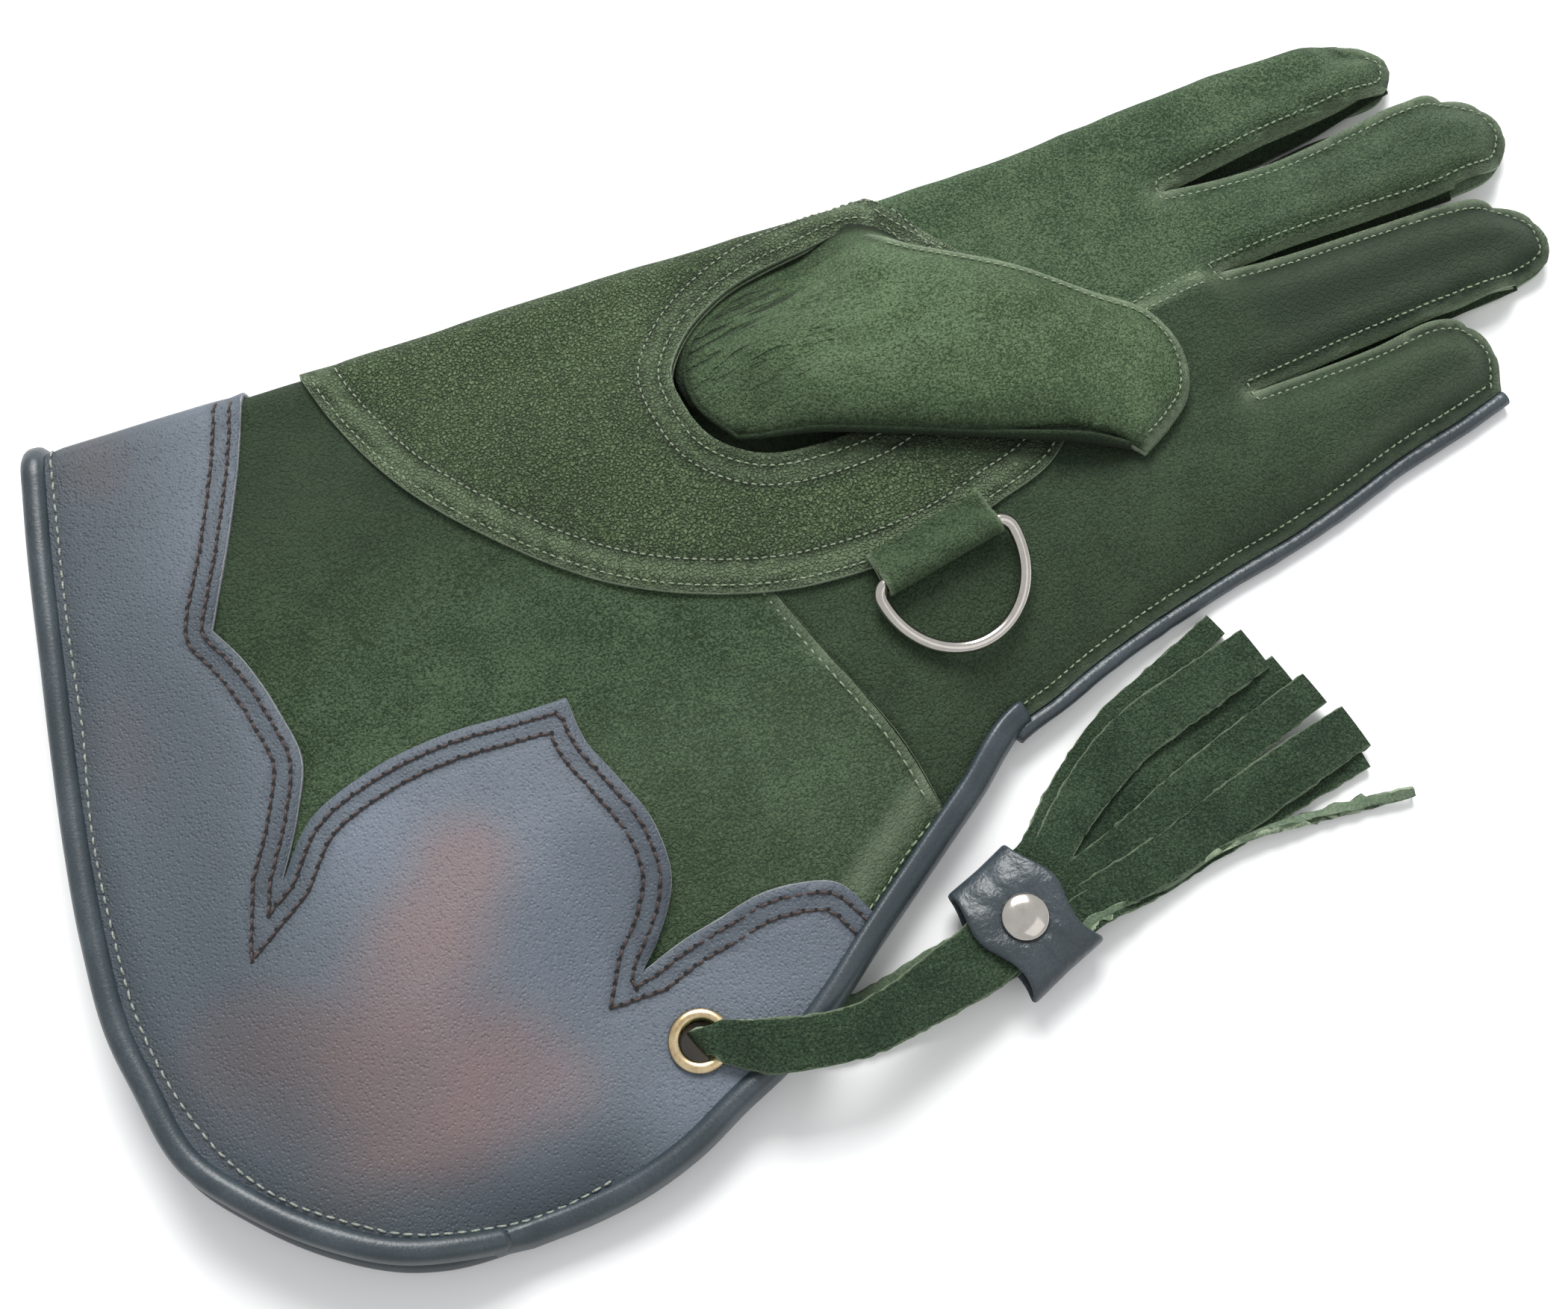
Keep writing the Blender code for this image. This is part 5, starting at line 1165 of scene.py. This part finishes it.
# the thumb, set into its hole and laid over the palm
thumbRows = ((0.200, 0.125, 0), (0.104, 0.128, 0), (0.010, 0.160, 0), (-0.045, 0.212, 0),
             (-0.063, 0.262, 0), (-0.063, 0.330, 0), (-0.030, 0.425, 1), (0.072, 0.485, 0),
             (0.230, 0.590, 0), (0.390, 0.690, 0), (0.404, 0.714, 1), (0.452, 0.667, 0),
             (0.477, 0.633, 0), (0.491, 0.585, 0), (0.494, 0.523, 0), (0.476, 0.446, 0),
             (0.422, 0.376, 0), (0.350, 0.290, 0), (0.287, 0.223, 0), (0.238, 0.172, 0))
thumbSet = {"edge": 0.0034, "loft": 0.0078, "round": 0.0150, "rootLift": 0.0006,
            "rootRise": 0.022, "wall": 0.0014, "rowInset": 0.0027, "pitch": 0.0021,
            "stitch": 0.0014, "thick": 0.00048, "mesh": 0.0018, "rootEdge": 0.0020,
            "overPatch": 0.0032, "strip": 0.0006}
thumbCurve = curveOf(thumbRows, 0.0020, True)
rootLine = plan(thumbRows[1:7])
thumbFold = curveOf(thumbRows[6:10], fineStep)
thumbSeam = curveOf(thumbRows[10:] + thumbRows[:1], fineStep)
thumbRoot = plan([(0.02, 0.24)])[0]


def thumbClear(x, y):
    overPatch = thumbSet["overPatch"] * smooth((planX(0.42) - x) / 0.02)
    risen = smooth(distanceTo(np.stack([x, y], 1), rootLine) / thumbSet["rootRise"])
    return palmTop(x, y) + risen * overPatch + (1 - risen) * (
        thumbSet["rootLift"] - thumbSet["rootEdge"])


def thumbTop(x, y):
    points = np.stack([x, y], 1)
    edge = distanceTo(points, np.concatenate([thumbCurve, thumbCurve[:1]]))
    loft = 1 - (1 - np.clip(edge / thumbSet["round"], 0, 1)) ** 2
    risen = smooth(distanceTo(points, rootLine) / thumbSet["rootRise"])
    height = thumbSet["rootEdge"] + risen * (thumbSet["edge"] - thumbSet["rootEdge"])
    top = thumbClear(x, y) + height + thumbSet["loft"] * loft * (0.35 + 0.65 * risen)
    rays = np.arctan2(y - thumbRoot[1], x - thumbRoot[0])
    away = np.linalg.norm(points - thumbRoot, axis=1)
    fan = np.sin(rays * 21 + 1.5 * cloud(x, y, 0.006, 41)) * bell(away - 0.020, 0.013)
    dent = np.exp(-(((points - plan([(0.13, 0.27)])[0]) / (0.030, 0.006)) ** 2).sum(axis=1))
    crease = cloud(x * 0.7, y * 1.4, 0.012, 42) * 0.00035
    return top + (0.00022 * fan + crease - 0.0009 * dent) * smooth(edge / 0.006)


def onThumb(points, lift):
    x, y = points[:, 0], points[:, 1]
    dx = (thumbTop(x + small, y) - thumbTop(x - small, y)) / (2 * small)
    dy = (thumbTop(x, y + small) - thumbTop(x, y - small)) / (2 * small)
    normal = unit(np.stack([-dx, -dy, np.ones(len(x))], 1))
    return np.column_stack([points, thumbTop(x, y)]) + normal * np.reshape(lift, (-1, 1))


def makeThumb(seamRow):
    step = thumbSet["mesh"]
    flat, faces = flatMesh(thumbCurve, [], step, step * 0.87)
    seam, lower = distanceTo(flat, thumbSeam), distanceTo(flat, thumbFold)
    rows = nearRow(flat, [seamRow], 0.0010)
    away = np.linalg.norm(flat - thumbRoot, axis=1)
    lip = distanceTo(flat, plan(thumbRows[0:7]))
    # painted shade in the seam's groove, along the root's lip, round the root and along the lower
    # side, where the deep mark adds more; a band above the lower side is paler as painted light;
    # the crease mark darkens the gathers' lines as painted shade
    shade = 0.4 * rows + 0.40 * bell(lip, 0.0030) + 0.30 * bell(away, 0.016) + (
        0.50 * bell(lower, 0.0024))
    upper = smooth((flat[:, 1] - thumbRoot[1] + 0.012) / 0.02)
    marks = {"worn": 1.2 * bell(seam, 0.0012) + 0.06 * bell(lower - 0.009, 0.006),
             "shade": np.clip(shade, 0, 1), "deep": 0.20 * bell(lower, 0.003),
             "crease": bell(np.clip(away - 0.008, 0, 1), 0.016) * (0.35 + 0.65 * upper)}
    top = piece("thumb_top_skin", onThumb(flat, -0.0003 * rows), faces, lined(thumbNap),
                ["thumb"], marks)
    under = piece("thumb_under_skin", np.column_stack([flat, thumbClear(*flat.T)]),
                  [face[::-1] for face in faces], lined(thumbNap), [], marks)
    for sheet in (top, under):
        thicken(sheet, thumbSet["wall"], False, 2, 1)


def thumbStrip(name, verts, rows, columns, shade, deep):
    obj = piece(name, verts, gridFaces(rows, columns), [thumbNap], [],
                {"worn": np.zeros(len(verts)), "shade": np.tile(shade, rows),
                 "deep": np.full(len(verts), deep)})
    thicken(obj, thumbSet["strip"])


def makeRootSkirt():  # the root's leather dips into the seam under the hole's lip
    root = curveOf(thumbRows[19:] + thumbRows[:6], fineStep)
    aside = -leftOf(unit(np.gradient(root, axis=0)))
    share = np.linspace(0, 1, len(root))
    verts = []
    for place, side, fade in zip(root, aside, smooth(share * 4) * smooth((1 - share) * 3)):
        high = onThumb(place[None], 0.0)[0][2]
        for u, v in ((-0.0012, 0.0002), (0.0, -0.0001), (0.0014, -0.0009), (0.0030, -0.0023),
                     (0.0046, -0.0034), (0.0062, -0.0042)):
            verts.append((*(place + side * u * (0.35 + 0.65 * fade)), high + v - 0.0001))
    # painted shade, darker down into the seam under the lip
    thumbStrip("thumb_root_skirt", verts, len(root), 6, [0.25, 0.3, 0.45, 0.75, 0.95, 1.0], 0.0)


def makeFoldStrip():  # along the thumb's lower side, round from its top to its underside
    edge = np.concatenate([curveOf(thumbRows[3:7], fineStep)[:-1], thumbFold])
    verts = []
    for place, side in zip(edge, -leftOf(unit(np.gradient(edge, axis=0)))):
        high = onThumb(place[None], 0.0)[0][2]
        low = thumbClear(place[:1], place[1:])[0]
        middle, tall = (high + low) / 2, (high - low) / 2
        for a in np.linspace(pi * 0.62, -pi * 0.5, 9):
            bulge = 0.0011 * max(cos(a), -0.6)
            verts.append((*(place + side * bulge), middle + tall * min(sin(a) * 1.02, 0.99)))
    # painted shade, darker down to the thumb's underside
    thumbStrip("thumb_fold_strip", verts, len(edge), 9, np.linspace(0.5, 1.0, 9), 0.8)


thumbSeamRow = rowBeside(thumbSeam, thumbSet["rowInset"])
makeThumb(thumbSeamRow)
makeRootSkirt()
makeFoldStrip()
stitchRow("thumb_stitches_1", thumbSeamRow[4:-6], onThumb, thumbSet)
print("thumb ready")

# the ring in its leather loop
ringSet = {"wire": 0.0016, "width": 0.0400, "depth": 0.0270, "corner": 0.0034,
           "loopLength": 0.0315, "loopWall": 0.0014, "tail": 0.0070, "slant": radians(11),
           "lean": radians(14.83), "gap": 0.0003, "sides": 16}
ringCentre = plan([(0.136, 0.779)])[0]
barAlong = np.array([cos(ringSet["slant"]), sin(ringSet["slant"])])
barAcross = np.array([-sin(ringSet["slant"]), cos(ringSet["slant"])])
loopOuter = ringSet["wire"] + ringSet["gap"] + ringSet["loopWall"]
barHeight = float(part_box("ring_loop")[1][2]) - loopOuter


def makeRing():
    half, depth = ringSet["width"] / 2 - ringSet["wire"], ringSet["depth"] - 2 * ringSet["wire"]
    corner = ringSet["corner"]
    points = [(half - corner + corner * sin(a), -corner + corner * cos(a))
              for a in np.linspace(0, pi / 2, 8)]
    points += [(half * cos(a), -corner - (depth - corner) * sin(a))
               for a in np.linspace(0, pi, 64)[1:]]
    points += [(-half + corner - corner * cos(a), -corner + corner * sin(a))
               for a in np.linspace(0, pi / 2, 8)[1:]]
    turn = Matrix.Rotation(ringSet["slant"], 3, "Z") @ Matrix.Rotation(ringSet["lean"], 3, "X")
    path = np.array([turn @ Vector((u, v, 0)) for u, v in points]) + (*ringCentre, barHeight)
    up = np.array(turn @ Vector((0, 0, 1)))
    count, sides = len(path), ringSet["sides"]
    verts = []
    for i in range(count):
        ahead = path[(i + 1) % count] - path[i - 1]
        ahead /= np.linalg.norm(ahead)
        side = np.cross(ahead, up)
        verts += [path[i] + ringSet["wire"] * (side * cos(a) + up * sin(a))
                  for a in np.arange(sides) * 2 * pi / sides]
    faces = gridFaces(count, sides, True)
    last = (count - 1) * sides
    faces += [(last + j, last + (j + 1) % sides, (j + 1) % sides, j) for j in range(sides)]
    piece("ring_wire", verts, faces, [nickelPlate], ["d_ring"], None, "d_ring")


def makeLoop():
    wall, tail = ringSet["loopWall"], ringSet["tail"]
    ends = [(tail + 0.0012, wall * 0.9), (tail * 0.7, wall * 0.95)]
    start = 0.75  # the angle at which the two tails leave the bar
    path = ends + [(loopOuter * cos(a), loopOuter * sin(a))
                   for a in np.linspace(start, 2 * pi - start, 22)]
    path += [(u, -v) for u, v in ends[::-1]]
    path = smoothCurve(path, 0.0008)
    columns = np.linspace(-0.5, 0.5, 27)
    verts = []
    for share in columns:
        narrow = 1 - 0.05 * smooth((abs(share) - 0.40) / 0.1)
        for u, v in path:
            wave = 0.00025 * sin(share * 19 + u * 700)
            place = ringCentre + barAlong * share * ringSet["loopLength"] + barAcross * u
            verts.append((*place, barHeight + v * narrow + wave * (v > 0)))
    marks = {"worn": np.repeat(np.where(np.abs(columns) > 0.47, 0.5, 0.0), len(path)),
             "shade": np.zeros(len(verts)), "deep": np.full(len(verts), 0.6)}
    obj = piece("ring_loop_skin", verts, gridFaces(len(columns), len(path)), lined(thumbNap),
                ["ring_loop"], marks)
    thicken(obj, wall - 0.0002, rim=1)


makeRing()
makeLoop()
print("ring ready")


def turnedPiece(name, profile, at, grain, replaced):
    steps, count = 48, len(profile)
    verts = [(at[0] + r * cos(a), at[1] + r * sin(a), z)
             for a in np.arange(steps) * 2 * pi / steps for r, z in profile]
    faces = [(i * count + j, ((i + 1) % steps) * count + j, ((i + 1) % steps) * count + j + 1,
              i * count + j + 1) for i in range(steps) for j in range(count - 1)]
    faceOut(piece(name, verts, faces, [grain], [replaced], None), True)


# the eyelet through the cuff's corner
eyeletSet = {"bore": 0.0048, "flange": 0.0076, "metal": 0.0008, "roll": 0.0009}
eyeletLow, eyeletTop = float(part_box("eyelet")[0][2]), float(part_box("eyelet")[1][2])


def makeEyelet():
    bore, flange, roll = eyeletSet["bore"], eyeletSet["flange"], eyeletSet["roll"]
    middle, half = (bore + flange) / 2, (flange - bore) / 2
    top = [(middle + half * cos(a), eyeletTop - roll + roll * sin(a))
           for a in np.linspace(0, pi, 12)]
    low = [(middle + half * cos(a), eyeletLow + roll + roll * sin(a))
           for a in np.linspace(pi, 2 * pi, 12)]
    inner = bore + eyeletSet["metal"]
    profile = top + low + [(inner, eyeletLow + roll), (inner, eyeletTop - roll), top[0]]
    turnedPiece("eyelet_rolled", profile, eyeletPoint, brassPlate, "eyelet")


makeEyelet()

# the tassel: a lace doubled through the eyelet, a riveted band and cut strips
tasselSet = {"turn": radians(22), "bandWidth": 0.0320, "bandLength": 0.0215, "bandWall": 0.0015,
             "laceWall": 0.0016, "lacePinch": 0.0068, "laceEnd": 0.33, "headWall": 0.0033,
             "stripWall": 0.0015, "rivet": 0.0057, "dome": 0.0022, "footWall": 0.0010,
             "foot": 0.0046, "gap": 0.0006, "laceBend": 0.0026, "ragged": 0.00014}
bandSet = {"rings": 15, "sides": 40, "power": 3.2, "flare": 0.02, "skew": 0.0016, "waves": 260,
           "pucker": 0.00055, "rays": 0.00042, "rayCount": 11, "dip": 0.0006}
upperLegRows = ((0.00, 0.00, 0.00, 0.52), (0.15, -0.05, 0.45, 0.48), (0.32, -0.10, 1.05, 0.42),
                (0.48, -0.13, 1.58, 0.39), (0.64, -0.12, 1.72, 0.39), (0.78, -0.09, 1.68, 0.40),
                (0.87, -0.05, 1.22, 0.35), (0.93, -0.02, 1.00, 0.30))
lowerLegRows = ((0.92, -0.020, 1.00, 0.28), (0.75, -0.06, 1.00, 0.38), (0.55, -0.09, 1.00, 0.42),
                (0.35, -0.07, 1.00, 0.46), (0.16, -0.03, 0.60, 0.50), (0.00, 0.00, 0.00, 0.52))
# strips: side of root, middle and tip and the reach, as shares of the band; width; layer
stripRows = ((0.30, 0.66, 0.67, 2.74, 0.22, 0), (0.18, 0.46, 0.33, 2.82, 0.40, 1),
             (0.08, 0.16, 0.05, 2.87, 0.32, 0), (-0.04, -0.10, -0.20, 2.92, 0.31, 1),
             (-0.20, -0.44, -0.62, 2.95, 0.40, 1), (-0.26, -0.52, -0.78, 2.85, 0.32, 0),
             (-0.34, -0.64, -1.28, 2.92, 0.10, 0))
stripLevels = (0.0011, 0.0032)
bandWidth, bandLength = tasselSet["bandWidth"], tasselSet["bandLength"]
rivetPoint = np.array([planX(0.084), sizes["foldReach"] - 1.447 * palmWidth])
tasselAlong = np.array([cos(tasselSet["turn"]), sin(tasselSet["turn"])])
tasselAcross = np.array([-sin(tasselSet["turn"]), cos(tasselSet["turn"])])
bandLow = tasselSet["footWall"] + tasselSet["gap"]
lowerLegHeight = bandLow + tasselSet["bandWall"] + tasselSet["gap"] + tasselSet["laceWall"] / 2
headHeight = lowerLegHeight + tasselSet["laceWall"] / 2 + tasselSet["gap"] + (
    tasselSet["headWall"] / 2)
upperLegHeight = headHeight + tasselSet["headWall"] / 2 + tasselSet["gap"] + (
    tasselSet["laceWall"] / 2)
bandHigh = upperLegHeight + tasselSet["laceWall"] / 2 + tasselSet["gap"] + tasselSet["bandWall"]


def beside(u, v):
    return rivetPoint + tasselAlong * u + tasselAcross * v


def ribbon(name, line, wall, finishes, replaced, twist, seed, hand=1):
    path, widths = line[:, :3], line[:, 3]
    rng = np.random.default_rng(seed)
    shares = np.array([-0.5, -0.46, -0.32, -0.16, 0.0, 0.16, 0.32, 0.46, 0.5])
    verts, marks = [], []
    for place, along, width, turn in zip(path, unit(np.gradient(path, axis=0)), widths, twist):
        side = np.array([*tasselAcross, 0.0]) * hand
        side = side - along * (side @ along)
        side /= np.linalg.norm(side)
        up = np.cross(along, side)
        side, up = side * cos(turn) + up * sin(turn), up * cos(turn) - side * sin(turn)
        for share in shares:
            jag = tasselSet["ragged"] * rng.standard_normal() if abs(share) > 0.4 else 0.0
            cup = (0.25 - share * share) * 0.10 * width
            verts.append(place + side * (share * width + jag) + up * (wall / 2 + cup))
            marks.append(0.70 * (abs(share) > 0.48))
    faces = [face[::-1] for face in gridFaces(len(path), len(shares))]
    still = np.zeros(len(marks))
    obj = piece(name, verts, faces, finishes, replaced,
                {"worn": marks, "shade": still, "deep": still})
    thicken(obj, wall, False, 2, 1)


def makeLace():
    mouth = beside(-bandLength / 2 - 0.002, 0.0)
    way = eyeletPoint - mouth
    reach = float(np.linalg.norm(way))
    aside = np.array([-way[1], way[0]]) / reach
    wall, bend = tasselSet["laceWall"], tasselSet["laceBend"]
    over, under = eyeletTop + tasselSet["gap"] + wall / 2, tasselSet["gap"] + wall / 2
    inward = (mouth + way * 0.9 + aside * 0.03 * reach) - eyeletPoint
    inward /= np.linalg.norm(inward)

    def held(height):  # the end that is sewn into the head
        return [(*beside(share * bandLength, 0.0), height, 0.52 * bandWidth)
                for share in (tasselSet["laceEnd"], -0.1)]

    def leg(rows, start, end):
        return [(*(mouth + way * share - aside * bow * reach), start + rise * (end - start),
                 width * bandWidth) for share, bow, rise, width in rows]

    def through(angle, height):
        return (*(eyeletPoint + inward * bend * (1 - sin(angle))), height, tasselSet["lacePinch"])

    quarter = np.linspace(0, pi / 2, 4)
    table = held(upperLegHeight) + leg(upperLegRows, upperLegHeight, over)
    table += [through(a, over - bend * (1 - cos(a))) for a in quarter]
    table += [through(a, under + 0.0004 + bend * (1 - cos(a))) for a in quarter[::-1]]
    table += leg(lowerLegRows, lowerLegHeight, under) + held(lowerLegHeight)[::-1]
    line = smoothCurve(table, 0.0016)
    line[:, 2] = np.maximum(line[:, 2], under)
    ribbon("lace_ribbon", line, wall, lined(laceNap), ["lace_strap"], np.zeros(len(line)), 5, -1)


def makeBand():
    height, middle = bandHigh - bandLow, (bandHigh + bandLow) / 2
    rings, sides = bandSet["rings"], bandSet["sides"]
    verts, side = [], []
    for end in np.linspace(-0.5, 0.5, rings):
        flare = 1 + bandSet["flare"] * abs(end) * 2
        length = end * bandLength
        for u, v in squareRound(sides, bandSet["power"]):
            across = u * bandWidth / 2 * flare
            rise = v * height / 2 * flare
            skew = bandSet["skew"] * sin(across * bandSet["waves"] + 0.8) * (
                (end * 2) ** 2 * np.sign(end))
            away = np.hypot(length, across)
            ray = sin(bandSet["rayCount"] * atan2(across, length + 1e-6))
            press = (bandSet["pucker"] * bell(away - 0.0085, 0.0030)
                     + bandSet["rays"] * ray * bell(away - 0.009, 0.005)
                     - bandSet["dip"] * bell(away, 0.0062)) * (v > 0)
            verts.append((*beside(length + skew, across), middle + rise + press))
            side.append(across)
    marks = {"run": np.repeat(np.linspace(0, bandLength, rings), sides), "side": side,
             "shade": np.zeros(len(verts))}
    obj = piece("band_skin", verts, gridFaces(rings, sides, True),
                [bandGrain, navyEdge, navyEdge], ["tassel_band"], marks)
    thicken(obj, tasselSet["bandWall"], False, 2, 1)
    rounding = obj.modifiers.new("Soften", "SUBSURF")
    rounding.levels = rounding.render_levels = 1


def makeRivet():
    cap = bandHigh + tasselSet["gap"] * 0.3
    radius, dome = tasselSet["rivet"], tasselSet["dome"]
    profile = [(0.0, cap + dome)] + [(radius * sin(a), cap + 0.0006 + (dome - 0.0006) * cos(a))
                                     for a in np.linspace(0.12, pi / 2, 14)]
    profile += [(radius, cap + 0.0002), (radius - 0.0004, cap - 0.0002), (0.002, cap - 0.0002),
                (0.002, tasselSet["footWall"]), (tasselSet["foot"], tasselSet["footWall"]),
                (tasselSet["foot"] - 0.0004, 0.0), (0.0, 0.0)]
    turnedPiece("rivet_domed", profile, rivetPoint, nickelPlate, "tassel_rivet")


def makeFringe():
    leave = bandLength / 2 - 0.006
    for i, (root, middle, tip, reach, width, layer) in enumerate(stripRows):
        height = stripLevels[layer] + 0.00013 * i
        wide = width * bandWidth
        rootWide = min(wide, 0.30 * bandWidth)
        top = headHeight - 0.0004 + 0.00011 * i
        ends = reach * bandWidth
        rows = ((leave, root, top, rootWide), (leave + 0.009, root + 0.1 * (middle - root), top,
                                               rootWide),
                (0.30 * ends, root + 0.55 * (middle - root), height + 0.0016, 0.86 * wide),
                (0.56 * ends, middle, height, wide),
                (0.8 * ends, 0.5 * (middle + tip), height, wide),
                (ends, tip, height, wide * 0.93))
        line = smoothCurve([(*beside(u, v * bandWidth), z, w) for u, v, z, w in rows], fineStep)
        share = np.linspace(0, 1, len(line))
        line[:, 2] += 0.0005 * np.sin(share * (9 + i) + i) * smooth(share * 4)
        narrow = width < 0.15
        twist = np.linspace(0, 1, len(line)) * (pi * 1.15 if narrow else 0.0)
        line[:, 2] = np.maximum(line[:, 2], (0.0019 if narrow else 0.0010)
                                + 0.5 * line[:, 3] * abs(np.sin(twist)))
        ribbon(f"fringe_strip_{i + 1}", line, tasselSet["stripWall"],
               lined(fleshSide if narrow else laceNap), ["tassel_fringe"] if i == 0 else [],
               twist, 60 + i)


makeLace()
makeBand()
makeRivet()
makeFringe()
print("tassel ready")

# floor, lights and camera
stageSet = {"floor": 8.0, "azimuth": -20.0, "elevation": 75.0, "distance": 0.5335,
            "target": (-0.0235, -0.0001, 0.008), "lens": 50.0, "sky": 0.74,
            "lights": (("key_light", (0.25, 1.10, 1.20), 0.8, 34.0),
                       ("fill_light", (0.6, -0.9, 1.5), 1.2, 2.5))}


def placed(name, data, spot, turn):
    obj = bpy.data.objects.new(name, data)
    bpy.context.scene.collection.objects.link(obj)
    obj.location = spot
    obj.rotation_mode = "QUATERNION"
    obj.rotation_quaternion = turn
    return obj


def makeFloor():
    mesh = bpy.data.meshes.new("floor")
    side = stageSet["floor"] / 2
    mesh.from_pydata([(-side, -side, 0), (side, -side, 0), (side, side, 0), (-side, side, 0)], [],
                     [(0, 1, 2, 3)])
    floor = placed("floor", mesh, (0, 0, -0.0002), (1, 0, 0, 0))
    material = finish("floor_white", 0.9, specular=0.1)[0]
    material.node_tree.nodes["Principled BSDF"].inputs["Base Color"].default_value = (
        0.90, 0.90, 0.90, 1.0)
    mesh.materials.append(material)


def makeStage():
    world = bpy.data.worlds.new("studio")
    bpy.context.scene.world = world
    world.use_nodes = True
    sky = world.node_tree.nodes["Background"].inputs
    sky["Color"].default_value = (0.98, 0.99, 1.0, 1.0)
    sky["Strength"].default_value = stageSet["sky"]
    for name, spot, size, power in stageSet["lights"]:
        light = bpy.data.lights.new(name, "AREA")
        light.size, light.energy = size, power
        placed(name, light, spot, Vector(spot).to_track_quat("Z", "Y"))
    a, e = radians(stageSet["azimuth"]), radians(stageSet["elevation"])
    back = Vector((sin(a) * cos(e), -cos(a) * cos(e), sin(e)))
    data = bpy.data.cameras.new("camera")
    data.lens, data.sensor_width = stageSet["lens"], 36.0
    bpy.context.scene.camera = placed(
        "camera", data, Vector(stageSet["target"]) + back * stageSet["distance"],
        (-back).to_track_quat("-Z", "Y"))
    bpy.context.scene.view_settings.view_transform = "Standard"


makeFloor()
makeStage()
print("stage ready")
